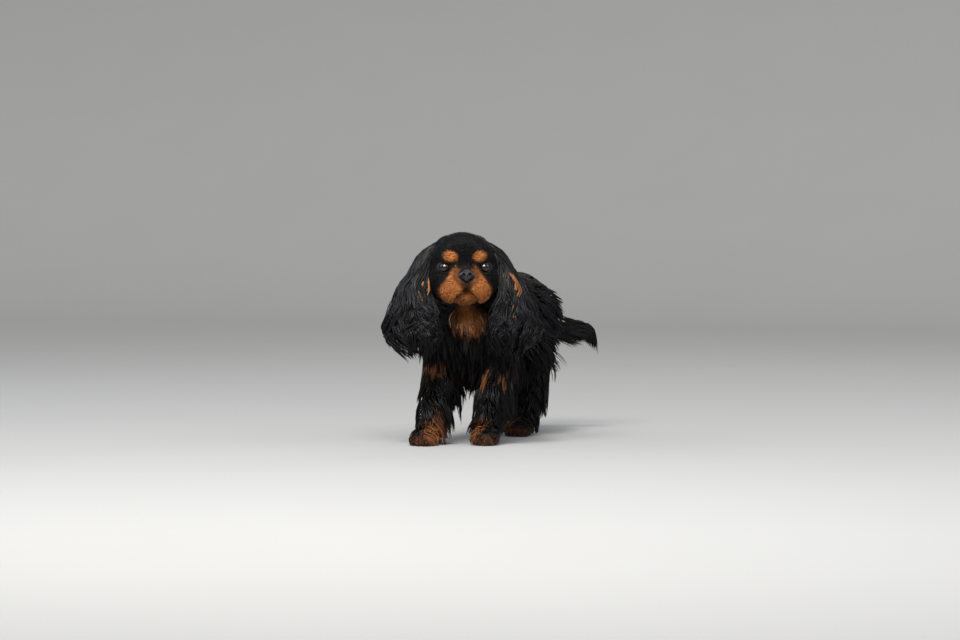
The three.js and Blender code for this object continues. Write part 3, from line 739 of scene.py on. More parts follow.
@dataclass
class Workshop:
    """Turns plan points into pieces that ride on the part."""

    shift: Array

    def row(self, p: Array) -> Array:
        """Points of the plan in the frame of the part, in metres."""
        return (p + self.shift) * MM

    def plan(self, p: Array) -> Array:
        """Points of the part, in metres, as points of the plan."""
        return p / MM - self.shift

    @staticmethod
    def clear_selection() -> None:
        """Leaves object mode with nothing selected."""
        if bpy.context.object and bpy.context.object.mode != "OBJECT":
            bpy.ops.object.mode_set(mode="OBJECT")
        bpy.ops.object.select_all(action="DESELECT")

    @classmethod
    def take(cls, obj: bpy.types.Object) -> None:
        """Selects one object alone and makes it the active one."""
        cls.clear_selection()
        obj.select_set(True)
        bpy.context.view_layer.objects.active = obj

    @classmethod
    def turn_faces_out(cls, obj: bpy.types.Object) -> None:
        """Points the faces of a closed mesh outwards."""
        cls.take(obj)
        bpy.ops.object.mode_set(mode="EDIT")
        bpy.ops.mesh.select_all(action="SELECT")
        bpy.ops.mesh.normals_make_consistent(inside=False)
        bpy.ops.object.mode_set(mode="OBJECT")

    @classmethod
    def join(cls, made: list[bpy.types.Object], name: str) -> bpy.types.Object:
        """Joins objects as one, with its place in its mesh."""
        cls.clear_selection()
        for obj in made:
            obj.select_set(True)
        bpy.context.view_layer.objects.active = made[0]
        bpy.ops.object.join()
        joined = bpy.context.object
        joined.name = joined.data.name = name
        bpy.ops.object.transform_apply(location=True, rotation=True, scale=True)
        return joined

    def cone(self, start: Vector, end: Vector, radii: tuple[float, float], sides: int) -> bpy.types.Object:
        """A cone from one point of the plan to another, with the radius at each."""
        along = end - start
        bpy.ops.mesh.primitive_cone_add(
            vertices=sides,
            radius1=radii[0] * MM,
            radius2=radii[1] * MM,
            depth=along.length * MM,
            location=self.row(np.array((start + end) / 2)),
            rotation=along.to_track_quat("Z", "Y").to_euler(),
        )
        return bpy.context.object

    @staticmethod
    def points(obj: bpy.types.Object) -> Array:
        """The points of an object's mesh."""
        flat = np.empty(len(obj.data.vertices) * 3)
        obj.data.vertices.foreach_get("co", flat)
        return flat.reshape(-1, 3)

    @staticmethod
    def set_points(obj: bpy.types.Object, p: Array) -> None:
        """Moves the points of an object's mesh."""
        obj.data.vertices.foreach_set("co", np.ascontiguousarray(p, np.float32).ravel())
        obj.data.update()

    @staticmethod
    def carry(mesh: bpy.types.Mesh, name: str, values: Array) -> None:
        """Stores one value at each point of a mesh."""
        found = mesh.attributes.new(name, "FLOAT", "POINT")
        found.data.foreach_set("value", np.ascontiguousarray(values, np.float32))

    def mark(self, mesh: bpy.types.Mesh, tan: Array, rust: Array, shade: float) -> None:
        """Stores the markings at the points of a skin, all of one shade."""
        self.carry(mesh, "tan", tan)
        self.carry(mesh, "rust", rust)
        self.carry(mesh, "shade", np.full(len(tan), shade))
        self.carry(mesh, "cream", np.zeros(len(tan)))

    def from_faces(self, name: str, p: Array, faces: Array) -> bpy.types.Object:
        """A smooth object from plan points and triangles or quads, all of one kind."""
        mesh = bpy.data.meshes.new(name)
        count, sides = faces.shape
        mesh.vertices.add(len(p))
        mesh.vertices.foreach_set("co", self.row(p).astype(np.float32).ravel())
        mesh.loops.add(count * sides)
        mesh.loops.foreach_set("vertex_index", faces.astype(np.int32).ravel())
        mesh.polygons.add(count)
        mesh.polygons.foreach_set("loop_start", np.arange(0, count * sides, sides, dtype=np.int32))
        mesh.polygons.foreach_set("use_smooth", np.full(count, True))
        mesh.update(calc_edges=True)
        mesh.validate()
        obj = bpy.data.objects.new(name, mesh)
        bpy.context.scene.collection.objects.link(obj)
        return obj

    @staticmethod
    def apply_modifier(obj: bpy.types.Object, kind: str, **settings: object) -> None:
        """Adds a modifier, sets it and applies it."""
        bpy.context.view_layer.objects.active = obj
        modifier = obj.modifiers.new(kind.title(), kind)
        for key, value in settings.items():
            setattr(modifier, key, value)
        bpy.ops.object.modifier_apply(modifier=modifier.name)

    def finish(self, obj: bpy.types.Object, material: bpy.types.Material, slot: str, *nodes: str) -> None:
        """Dresses a piece, hangs it on the root body and hides the nodes that it stands for."""
        obj.data.materials.clear()
        obj.data.materials.append(material)
        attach(obj, "root")
        if nodes:
            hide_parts(*nodes)
        LOG.info("%s: %d faces", obj.name, len(obj.data.polygons))


@dataclass
class Roots:
    """Places on a skin that tufts grow from, in the plan."""

    place: Array
    normal: Array
    unwrap: Array

    def __len__(self) -> int:
        """How many there are."""
        return len(self.place)

    def pick(self, chosen: Array) -> "Roots":
        """Some of the roots."""
        return Roots(self.place[chosen], self.normal[chosen], self.unwrap[chosen])


class Pelt:
    """The faces of a skin, with its unwrap, from which roots are drawn."""

    def __init__(self, shop: Workshop, obj: bpy.types.Object) -> None:
        """Unwraps the skin and reads its triangles."""
        shop.take(obj)
        bpy.ops.object.mode_set(mode="EDIT")
        bpy.ops.mesh.select_all(action="SELECT")
        bpy.ops.uv.smart_project(angle_limit=math.radians(75), island_margin=0.002)
        bpy.ops.object.mode_set(mode="OBJECT")
        mesh = obj.data
        mesh.calc_loop_triangles()
        count = len(mesh.loop_triangles)
        corners = np.empty(count * 3, np.int32)
        loops = np.empty(count * 3, np.int32)
        mesh.loop_triangles.foreach_get("vertices", corners)
        mesh.loop_triangles.foreach_get("loops", loops)
        uv = np.empty(len(mesh.loops) * 2, np.float32)
        mesh.uv_layers.active.uv.foreach_get("vector", uv)
        normals = np.empty(len(mesh.vertices) * 3, np.float32)
        mesh.vertex_normals.foreach_get("vector", normals)
        self.corner = shop.plan(shop.points(obj))[corners.reshape(-1, 3)]
        self.normal = normals.reshape(-1, 3)[corners.reshape(-1, 3)]
        self.unwrap = uv.reshape(-1, 2)[loops.reshape(-1, 3)]
        self.middle = self.corner.mean(axis=1)
        cross = np.cross(self.corner[:, 1] - self.corner[:, 0], self.corner[:, 2] - self.corner[:, 0])
        self.area = np.linalg.norm(cross, axis=1) / 2

    def roots(self, where: Array, count: int, draw: np.random.Generator) -> Roots:
        """Draws roots over part of the skin.

        Args:
            where: the faces that they grow on.
            count: how many roots.
            draw: the seeded draw.

        Returns:
            The roots.
        """
        weight = self.area * where
        chosen = draw.choice(len(weight), count, p=weight / weight.sum())
        a, b = draw.random(count), draw.random(count)
        flip = a + b > 1
        a, b = np.where(flip, 1 - a, a), np.where(flip, 1 - b, b)
        share = np.column_stack([1 - a - b, a, b])[:, :, None]
        return Roots(
            (self.corner[chosen] * share).sum(axis=1),
            unit((self.normal[chosen] * share).sum(axis=1)),
            (self.unwrap[chosen] * share).sum(axis=1),
        )


@dataclass(frozen=True)
class Dye:
    """How the strands of a piece are coloured.

    Attributes:
        tone: how light the lock of each strand is.
        cream: how cream each is, or None for not at all.
        tan: how tan each is, or None to ask the markings at the root.
        rust: how red the tan of each is, or None for the same.
        fade: how far the tan has gone at the tips.
    """

    tone: Array
    cream: Array | None = None
    tan: Array | None = None
    rust: Array | None = None
    fade: float = 0.0


@dataclass
class Strands:
    """Tapered, three-sided strands along paths, joined as one mesh.

    Attributes:
        shop: what makes the mesh.
        marks: the markings.
        patch: the size of a strand's patch on the unwrap.
        flat: the depth of a strand as a share of its width.
        widest: how far along itself a strand is widest.
    """

    shop: Workshop
    marks: Markings
    patch: float = 0.003
    flat: float = 0.5
    widest: float = 0.25

    def points(self, paths: Array, outs: Array, width: Array) -> Array:
        """Three points round each knot of a strand but its last, and then its tip."""
        count, knots, _ = paths.shape
        rings = knots - 1
        along = unit(np.diff(paths, axis=1, append=2 * paths[:, -1:] - paths[:, -2:-1]))
        side = unit(np.cross(along, outs[:, None, :]))
        out = np.cross(side, along)
        t = np.arange(rings) / rings
        closing = np.sqrt(np.maximum(1 - ((t - self.widest) / 0.8) ** 1.5, 0))
        half = (width[:, None] * np.where(t < self.widest, 0.65 + 1.4 * t, closing) / 2)[..., None]
        body, side, out = paths[:, :rings], side[:, :rings] * half, out[:, :rings] * half * self.flat
        ring = np.stack([body - side - out * 0.6, body + side - out * 0.6, body + out * 1.2], axis=2)
        return np.concatenate([ring.reshape(count, rings * 3, 3), paths[:, -1:]], axis=1)

    @staticmethod
    def faces(count: int, rings: int) -> Array:
        """The triangles of all strands."""
        local = [(0, 1, 2)]
        for i in range(rings - 1):
            for s in range(3):
                a, b = i * 3 + s, i * 3 + (s + 1) % 3
                local += [(a, a + 3, b + 3), (a, b + 3, b)]
        last = (rings - 1) * 3
        local += [(last + s, rings * 3, last + (s + 1) % 3) for s in range(3)]
        first = np.arange(count) * (rings * 3 + 1)
        return (np.array(local)[None] + first[:, None, None]).reshape(-1, 3)

    def colour(
        self, mesh: bpy.types.Mesh, root: Array, t: Array, draw: np.random.Generator, dye: Dye
    ) -> None:
        """Stores the colours of strands that have points at the places t along them."""
        count = len(root)
        tan = self.marks.tan(root) * draw.uniform(0.8, 1.05, count) if dye.tan is None else dye.tan
        red = self.marks.rust(root) if dye.rust is None else dye.rust
        pale = np.zeros(count) if dye.cream is None else dye.cream
        shade = np.clip(draw.normal(0.42, 0.26, count) + (dye.tone - 0.5) * 0.8, 0, 1)
        self.shop.carry(mesh, "tan", (np.clip(tan, 0, 1)[:, None] * (1 - dye.fade * t[None])).ravel())
        self.shop.carry(mesh, "rust", np.repeat(red, len(t)))
        self.shop.carry(mesh, "shade", (shade[:, None] * 0.75 + t[None] * 0.3).ravel())
        self.shop.carry(mesh, "cream", (pale[:, None] * (0.2 + 0.8 * t[None])).ravel())

    def build(
        self,
        name: str,
        paths: Array,
        outs: Array,
        width: Array,
        unwrap: Array,
        draw: np.random.Generator,
        dye: Dye,
    ) -> bpy.types.Object:
        """Makes the mesh.

        Args:
            name: the piece's name.
            paths: the points of each strand, root first.
            outs: the outward direction of each strand.
            width: the widest part of each.
            unwrap: the place of each root on the skin's unwrap.
            draw: the seeded draw.
            dye: how the strands are coloured.

        Returns:
            The object.
        """
        count, knots, _ = paths.shape
        rings = knots - 1
        faces = self.faces(count, rings)
        obj = self.shop.from_faces(name, self.points(paths, outs, width).reshape(-1, 3), faces)
        t = np.repeat(np.arange(rings) / rings, 3)
        self.colour(obj.data, paths[:, 0], np.append(t, 1.0), draw, dye)
        corner = np.column_stack([np.tile([-0.5, 0.5, 0.0], rings), t - 0.5])
        corner = np.vstack([corner, [0.0, 0.5]]) * self.patch
        uv = (unwrap[:, None] + corner[None]).reshape(-1, 2)
        layer = obj.data.uv_layers.new(name="OFBake")
        layer.uv.foreach_set("vector", uv[faces.ravel()].astype(np.float32).ravel())
        return obj


@dataclass(frozen=True)
class Growth:
    """How one part of the coat grows.

    Attributes:
        length: the shortest and longest strand.
        width: the thinnest and thickest.
        steps: pieces along a strand.
        lift: how far the strands stand off halfway.
        droop: how far they turn to hang.
        wave: how far they swing from side to side.
        clump: how far strands gather into locks at their tips.
        locks: how many strands to a lock.
    """

    length: tuple[float, float]
    width: tuple[float, float]
    steps: int
    lift: float
    droop: float
    wave: float
    clump: float
    locks: int


class Coat:
    """Grows strands from roots along the lie of the coat."""

    ROOT_DEPTH = 1.5
    SWINGS = 5.2
    CLEAR_OF_FLOOR = 0.8

    def __init__(self, flesh: Flesh, strands: Strands) -> None:
        """Keeps what the strands grow on and are made by."""
        self.flesh = flesh
        self.strands = strands

    def lie(self, p: Array, normal: Array) -> Array:
        """The direction that the coat lies in at points of the skin.

        It lies away from the nose on the head, back along the trunk, and down on the chest, flanks and legs.
        """
        head = self.flesh.head.inwards(p)
        nose = np.array([0, self.flesh.head.muzzle_front - 10, -14])
        flow = unit(head - nose)
        flow[:, 2] -= 0.75 * step_up(np.abs(head[:, 0]), 18, 46) + 0.5 * step_up(head[:, 2], -28, -52)
        flow = self.flesh.head.aim(flow)
        side = 1 - np.abs(normal[:, 2])
        chest = step_up(p[:, 1], -70, -135)
        trunk = BACK * (0.95 - 0.75 * chest)[:, None] + DOWN * (0.15 + 0.75 * side + 1.1 * chest)[:, None]
        leg = DOWN + 0.28 * BACK
        limb = step_up(p[:, 2], 172, 138)[:, None]
        body = mix(trunk, np.broadcast_to(leg, trunk.shape), limb)
        ahead = step_up(self.flesh.head.distance(head), 26, 6)[:, None] * step_up(p[:, 2], 215, 235)[:, None]
        found = mix(unit(body), unit(flow), ahead)
        found = found - normal * (found * normal).sum(axis=1, keepdims=True)
        return unit(found)

    def paths(self, roots: Roots, growth: Growth, length: Array, phase: Array, size: Array) -> Array:
        """The path of each strand.

        Args:
            roots: where they grow.
            growth: how they grow.
            length: how long each is.
            phase: where each is in its wave.
            size: the share of the growth's lift that each has.

        Returns:
            The points of each, root first.
        """
        p, normal = roots.place.copy(), roots.normal
        start = self.lie(p, normal)
        side = np.cross(start, normal)
        found = [p - normal * self.ROOT_DEPTH]
        step = (length / growth.steps)[:, None]
        for i in range(1, growth.steps + 1):
            t = i / growth.steps
            swing = np.sin(phase + t * self.SWINGS)[:, None] * growth.wave
            heading = unit(mix(start, DOWN[None], growth.droop * t) + side * swing)
            p = p + heading * step
            d = self.flesh.distance(p)
            want = growth.lift * size * math.sin(t * 2.2)
            short = np.maximum(want - d, 0)
            if short.any():
                p = p + self.flesh.slope(p, d) * short[:, None]
            p[:, 2] = np.maximum(p[:, 2], self.CLEAR_OF_FLOOR + 2 * (1 - t))
            found.append(p.copy())
        return np.stack(found, axis=1)

    def grow(
        self,
        name: str,
        roots: Roots,
        growth: Growth,
        draw: np.random.Generator,
        size: Array,
        cream: Array | None,
        fade: float,
    ) -> bpy.types.Object:
        """Grows one piece of the coat, gathered into locks.

        Args:
            name: the piece's name.
            roots: where it grows.
            growth: how it grows.
            draw: the seeded draw.
            size: the share of the growth's length and lift at each root.
            cream: how cream each strand is, or None for not at all.
            fade: how far the tan has gone at the tips.

        Returns:
            The object.
        """
        count = len(roots)
        length = draw.uniform(*growth.length, count) * size
        heads = draw.choice(count, max(int(count / growth.locks), 1), replace=False)
        tree = kdtree.KDTree(len(heads))
        for i, place in enumerate(roots.place[heads]):
            tree.insert(place, i)
        tree.balance()
        lock = np.array([tree.find(place)[1] for place in roots.place])
        phase = draw.uniform(0, math.tau, len(heads))
        guides = self.paths(roots.pick(heads), growth, length[heads], phase, size[heads])
        own = self.paths(roots, growth, length, phase[lock] + draw.normal(0, 0.25, count), size)
        t = np.linspace(0, 1, growth.steps + 1)[None, :, None]
        gather = growth.clump * t**1.4
        paths = mix(own, guides[lock] + (own[:, :1] - guides[lock][:, :1]) * 0.18, gather)
        width = draw.uniform(*growth.width, count)
        dye = Dye(draw.random(len(heads))[lock], cream=cream, fade=fade)
        return self.strands.build(name, paths, roots.normal, width, roots.unwrap, draw, dye)


# Pieces


@dataclass
class Skin:
    """The one skin over head, neck, torso and legs.

    Attributes:
        flesh: the field that it follows.
        shop: what makes the mesh.
        marks: the markings.
        voxel: the size of the remesh.
        face_depth: how deep the skin lies in the field on the face.
        coat_depth: how deep it lies elsewhere.
        mouth_line: the depth and half width of the line of the mouth.
        lip_swell: how far the upper and the lower lip stand out beside it.
        groove: the depth and half width of the groove under the nose.
        socket: half the width, half the height and the depth of the hole for an eye.
    """

    flesh: Flesh
    shop: Workshop
    marks: Markings
    voxel: float = 3.4
    face_depth: float = 1.6
    coat_depth: float = 3.5
    mouth_line: tuple[float, float] = (3.6, 1.8)
    lip_swell: tuple[float, float] = (1.3, 0.7)
    groove: tuple[float, float] = (1.5, 1.3)
    socket: tuple[float, float, float] = (10.4, 9.0, 9.0)

    def form(self, ball: Ball, turn: Matrix) -> None:
        """Adds one ball as a primitive."""
        place = self.shop.row(np.array(turn @ Vector(ball.centre)))
        bpy.ops.mesh.primitive_uv_sphere_add(segments=20, ring_count=12, radius=1, location=place)
        made = bpy.context.object
        made.rotation_euler = turn.to_euler()
        made.scale = [r * MM for r in ball.radii]

    def limb(self, limb: Limb, turn: Matrix) -> None:
        """Adds one limb as a cone and two balls."""
        a, b = turn @ Vector(limb.start), turn @ Vector(limb.end)
        for centre, radius in ((a, limb.start_radius), (b, limb.end_radius)):
            self.form(Ball(tuple(centre), (radius,) * 3), Matrix())
        self.shop.cone(a, b, (limb.start_radius, limb.end_radius), 20)

    def rough_out(self) -> bpy.types.Object:
        """Joins all forms and fuses them by a voxel remesh."""
        self.shop.clear_selection()
        before = set(bpy.data.objects)
        for forms, turn in ((self.flesh.body.forms, Matrix()), (self.flesh.head.forms, self.flesh.head.turn)):
            for form in forms:
                (self.form if isinstance(form, Ball) else self.limb)(form, turn)
        skin = self.shop.join([obj for obj in bpy.data.objects if obj not in before], "skin")
        size = self.voxel * MM
        self.shop.apply_modifier(skin, "REMESH", mode="VOXEL", voxel_size=size, use_smooth_shade=True)
        self.shop.apply_modifier(skin, "SMOOTH", factor=0.5, iterations=6)
        return skin

    def depth(self, p: Array) -> Array:
        """How deep the skin lies below the outline of the coat."""
        head = self.flesh.head.inwards(p)
        face = step_up(self.flesh.head.distance(head), 14, 2) * step_up(head[:, 1], 40, 12)
        paw = step_up(p[:, 2], 60, 20)
        return mix(self.coat_depth, self.face_depth, np.maximum(face, paw * 0.6))

    def seat(self, skin: bpy.types.Object, rounds: int) -> None:
        """Draws the skin onto the plan's field and flattens the soles."""
        p = self.shop.plan(self.shop.points(skin))
        p = self.flesh.draw_onto(p, self.depth(p), rounds)
        p[:, 2] = np.maximum(p[:, 2], 0.3)
        self.shop.set_points(skin, self.shop.row(p))

    def refine_face(self, skin: bpy.types.Object) -> None:
        """Divides the faces of the muzzle and round the eyes."""
        head = self.flesh.head.inwards(self.shop.plan(self.shop.points(skin)))
        near = (head[:, 1] < 8) & (np.abs(head[:, 0]) < 52) & (head[:, 2] > -72) & (head[:, 2] < 22)
        near &= self.flesh.head.distance(head) < 6
        self.shop.take(skin)
        polygons = skin.data.polygons
        chosen = np.array([all(near[v] for v in face.vertices) for face in polygons])
        skin.data.vertices.foreach_set("select", near)
        polygons.foreach_set("select", chosen)
        bpy.ops.object.mode_set(mode="EDIT")
        bpy.ops.mesh.select_mode(type="FACE")
        bpy.ops.mesh.subdivide(number_cuts=1, smoothness=0)
        bpy.ops.object.mode_set(mode="OBJECT")

    def relief(self, head: Array) -> Array:
        """How far the face stands out of the plan's field: the mouth, the lips, the groove and the folds."""
        x, z = head[:, 0], head[:, 2]
        reach, above = self.flesh.head.off_mouth(head)
        found = -self.mouth_line[0] * np.exp(-((reach / self.mouth_line[1]) ** 2))
        found += np.where(above, *self.lip_swell) * np.exp(-(((reach - 4.5) / 2.6) ** 2))
        stem = step_up(z, -44, -40) * step_up(z, -22, -28)
        found -= self.groove[0] * stem * np.exp(-((x / self.groove[1]) ** 2))
        found += 0.8 * stem * np.exp(-(((np.abs(x) - 5) / 3.2) ** 2))
        folds = np.hypot(np.abs(x) - 30, (z + 13) * 1.5)
        return found - 0.8 * np.exp(-(((folds - 9) / 2.2) ** 2)) * (z < -8)

    def carve_face(self, skin: bpy.types.Object) -> None:
        """Shapes the mouth and sinks the sockets."""
        plan = self.flesh.head
        p = self.shop.plan(self.shop.points(skin))
        head = plan.inwards(p)
        normal = plan.inwards(self.flesh.slope(p)) - plan.inwards(np.zeros((1, 3)))
        near = (head[:, 1] < 8) & (plan.distance(head) < 4)
        x, z = head[:, 0], head[:, 2]
        head = head + normal * (self.relief(head) * near)[:, None]
        wide, high, deep = self.socket
        for side in Side:
            hole = np.hypot((x - side.value * (plan.eye_x + 0.3)) / wide, z / high)
            head[:, 1] += deep * np.sqrt(np.clip(1 - hole, 0, 1)) * near
        self.shop.set_points(skin, self.shop.row(plan.outwards(head)))

    def build(self) -> bpy.types.Object:
        """Makes the skin and stores the markings on it."""
        skin = self.rough_out()
        self.seat(skin, 5)
        self.shop.apply_modifier(skin, "SMOOTH", factor=0.5, iterations=2)
        self.refine_face(skin)
        self.seat(skin, 2)
        self.carve_face(skin)
        skin.data.polygons.foreach_set("use_smooth", np.ones(len(skin.data.polygons), bool))
        p = self.shop.plan(self.shop.points(skin))
        self.shop.mark(skin.data, self.marks.tan(p) * (1 - self.dark(p)), self.marks.rust(p), 0.4)
        return skin

    def dark(self, p: Array) -> Array:
        """Where the bare black skin of the lips and lids shows."""
        plan = self.flesh.head
        head = plan.inwards(p)
        lips = step_up(plan.off_mouth(head)[0], 3.0, 1.8)
        lids = step_up(np.hypot(np.abs(head[:, 0]) - plan.eye_x, head[:, 2] * 1.2), 15, 11)
        nose = step_up(np.hypot(head[:, 0], (head[:, 2] - plan.nose[2]) * 1.15), 14.8, 12.8)
        return np.clip(np.maximum(np.maximum(lips, lids), nose), 0, 1) * (head[:, 1] < 5)


@dataclass
class Eye:
    """An eyeball and the lids round it.

    Attributes:
        plan: the plan of the head.
        shop: what makes the meshes.
        side: whose eye it is.
        edge: the rings of the lids' edge: the share of the opening's size and the rise off the ball of each.
        skirt: the rings behind them: the size of each, and the share by which it lies on the face instead.
        bulge: how far the cornea stands proud.
    """

    plan: HeadPlan
    shop: Workshop
    side: Side
    edge: tuple[tuple[float, float], ...] = (
        (0.97, -0.5),
        (0.95, 0.35),
        (0.965, 0.95),
        (1.02, 1.35),
        (1.1, 1.5),
        (1.22, 1.35),
    )
    skirt: tuple[tuple[float, float], ...] = ((1.36, 0.45), (1.52, 0.85), (1.7, 1.0))
    bulge: float = 0.35

    @property
    def centre(self) -> Array:
        """The middle of the eyeball in the head's frame."""
        return np.array([self.side.value * self.plan.eye_x, self.plan.eye_depth, 0.0])

    @property
    def gaze(self) -> Array:
        """The middle of the pupil on the eyeball, in the head's frame."""
        return self.centre + unit(np.array([self.side.value * 0.14, -1.0, 0.02])) * self.plan.eye_radius

    def ball(self) -> bpy.types.Object:
        """The eyeball, with a cornea that stands a little proud."""
        self.shop.clear_selection()
        bpy.ops.mesh.primitive_uv_sphere_add(segments=48, ring_count=32, radius=1, location=(0, 0, 0))
        ball = bpy.context.object
        ball.name = ball.data.name = f"eyeball_{self.side.word}"
        toward = unit(self.gaze - self.centre)
        p = self.shop.points(ball)
        turn = np.array(Vector(toward).to_track_quat("Z", "Y").to_matrix())
        p = p @ turn.T
        near = np.clip((p @ toward - 0.72) / 0.28, 0, 1)
        p = p * (self.plan.eye_radius + self.bulge * near * (2 - near))[:, None]
        self.shop.set_points(ball, self.shop.row(self.plan.outwards(p + self.centre)))
        bpy.ops.object.shade_smooth()
        return ball

    def opening(self, angle: Array, grow: float) -> tuple[Array, Array]:
        """X and Z of the edge of the lids from the middle of the eye, grown outwards by a share."""
        wide, high = self.plan.lid_opening
        x = wide * grow * np.cos(angle)
        z = high * grow * np.sin(angle) * np.where(np.sin(angle) > 0, 1.0, 0.92)
        z = z * (1 - 0.12 * np.cos(angle) ** 4)
        tilt = math.radians(self.plan.lid_tilt) * self.side.value
        return x * math.cos(tilt) - z * math.sin(tilt), x * math.sin(tilt) + z * math.cos(tilt)

    def ring(self, angle: Array, grow: float, rise: float, least: float) -> Array:
        """A ring of the lids that stands off the eyeball, and at least so far before its middle."""
        x, z = self.opening(angle, grow)
        radius = self.plan.eye_radius + rise
        y = -np.sqrt(np.maximum(radius**2 - x**2 - z**2, least**2)) + self.plan.eye_depth
        return np.column_stack([x + self.centre[0], y, z])

    def lids(self) -> bpy.types.Object:
        """The two lids as one rim: from inside the opening, over its edge and into the face."""
        around = 72
        angle = np.arange(around) / around * math.tau
        rings = [self.ring(angle, grow, rise, 2.0) for grow, rise in self.edge]
        for grow, share in self.skirt:
            ring = self.ring(angle, grow, 1.2, 1.0)
            face = self.plan.front(ring[:, 0], ring[:, 2], 1.6) + (1.4 if share == 1.0 else 0.0)
            ring[:, 1] = mix(np.minimum(ring[:, 1], face + 6), face, share)
            rings.append(ring)
        faces = []
        for i in range(len(rings) - 1):
            for k in range(around):
                a, b = i * around + k, i * around + (k + 1) % around
                faces.append((a, b, b + around, a + around))
        p = self.plan.outwards(np.vstack(rings))
        return self.shop.from_faces(f"lids_{self.side.word}", p, np.array(faces))


@dataclass
class Nose:
    """The nose leather: a broad, rounded pad with comma nostrils and a groove down its middle.

    Attributes:
        plan: the plan of the head.
        shop: what makes the mesh.
        share: its size as a share of the plan's.
        nostril: the X and Z of the middle of a nostril.
        nostril_radii: half the width and height of its round part.
        slit: the X and Z of the middle of its slit.
        slit_radii: half the length and height of that.
        depths: how deep the nostril, the slit and the groove go.
    """

    plan: HeadPlan
    shop: Workshop
    share: float = 0.89
    nostril: tuple[float, float] = (5.4, 0.3)
    nostril_radii: tuple[float, float] = (2.7, 3.0)
    slit: tuple[float, float] = (9.4, -2.9)
    slit_radii: tuple[float, float] = (4.2, 1.35)
    depths: tuple[float, float, float] = (5.2, 3.4, 0.8)

    def pad(self, p: Array) -> Array:
        """The points of a ball as those of a squarish, narrowing pad."""
        p = p[:, [0, 2, 1]] * np.array([1, -1, 1])
        p = np.sign(p) * np.abs(p) ** 0.92
        p = unit(p) * np.maximum(np.abs(p).max(axis=1), 0.86)[:, None] * 1.06
        return p * np.array(self.plan.nose_radii) * self.share

    def carve(self, p: Array) -> Array:
        """The pad with its nostrils, their rims and its groove."""
        x, y, z = np.abs(p[:, 0]), p[:, 1].copy(), p[:, 2]
        hole, slit, groove = self.depths
        front = step_up(y, 2, -3)
        wide, high = self.nostril_radii
        hollow = np.hypot((x - self.nostril[0]) / wide, (z - self.nostril[1]) / high)
        off = x - self.slit[0]
        comma = np.hypot(off / self.slit_radii[0], (z - self.slit[1] + off * 0.1) / self.slit_radii[1])
        y += front * (hole * step_up(hollow, 1.25, 0.55) + slit * step_up(comma, 1.3, 0.5) * (hollow > 0.5))
        y -= front * 0.7 * np.exp(-(((hollow - 1.55) / 0.4) ** 2))
        y += front * groove * np.exp(-((x / 0.9) ** 2)) * step_up(z, 4, -1)
        return np.column_stack([p[:, 0] * (1 - 0.16 * step_up(z, 2, -10)), y, z])

    def build(self) -> bpy.types.Object:
        """Makes the nose from a ball."""
        self.shop.clear_selection()
        bpy.ops.mesh.primitive_uv_sphere_add(segments=96, ring_count=64, radius=1, location=(0, 0, 0))
        nose = bpy.context.object
        nose.name = nose.data.name = "nose_leather"
        p = self.carve(self.pad(self.shop.points(nose)))
        self.shop.set_points(nose, self.shop.row(self.plan.outwards(p + np.array(self.plan.nose))))
        self.shop.turn_faces_out(nose)
        bpy.ops.object.shade_smooth()
        return nose


@dataclass(frozen=True)
class Streak:
    """A streak of tan strands on a bell.

    Attributes:
        angle: where its middle lies round the form.
        half: half its angle.
        start: how far along the form it starts.
        end: how far along it ends.
        share: the share of the locks there that are tan.
        pale: how far those are cream.
    """

    angle: float
    half: float
    start: float
    end: float
    share: float
    pale: float


@dataclass(frozen=True)
class Hair:
    """The long hair on a bell.

    Attributes:
        count: how many strands.
        run: the shortest and longest share of the form that a strand runs along.
        width: the thinnest and thickest strand.
        wave: how far the locks swing.
        hang: how far the tips may fall from the form.
        streak: its tan streak.
        fade: how far the tan has gone at the tips.
        taper: how far the form narrows to its end.
        locks: strands to a lock.
        steps: pieces along a strand.
        red: how red the tan is.
    """

    count: int
    run: tuple[float, float]
    width: tuple[float, float]
    wave: float
    hang: float
    streak: Streak
    fade: float = 0.0
    taper: float = 0.0
    locks: int = 10
    steps: int = 7
    red: float = 0.2


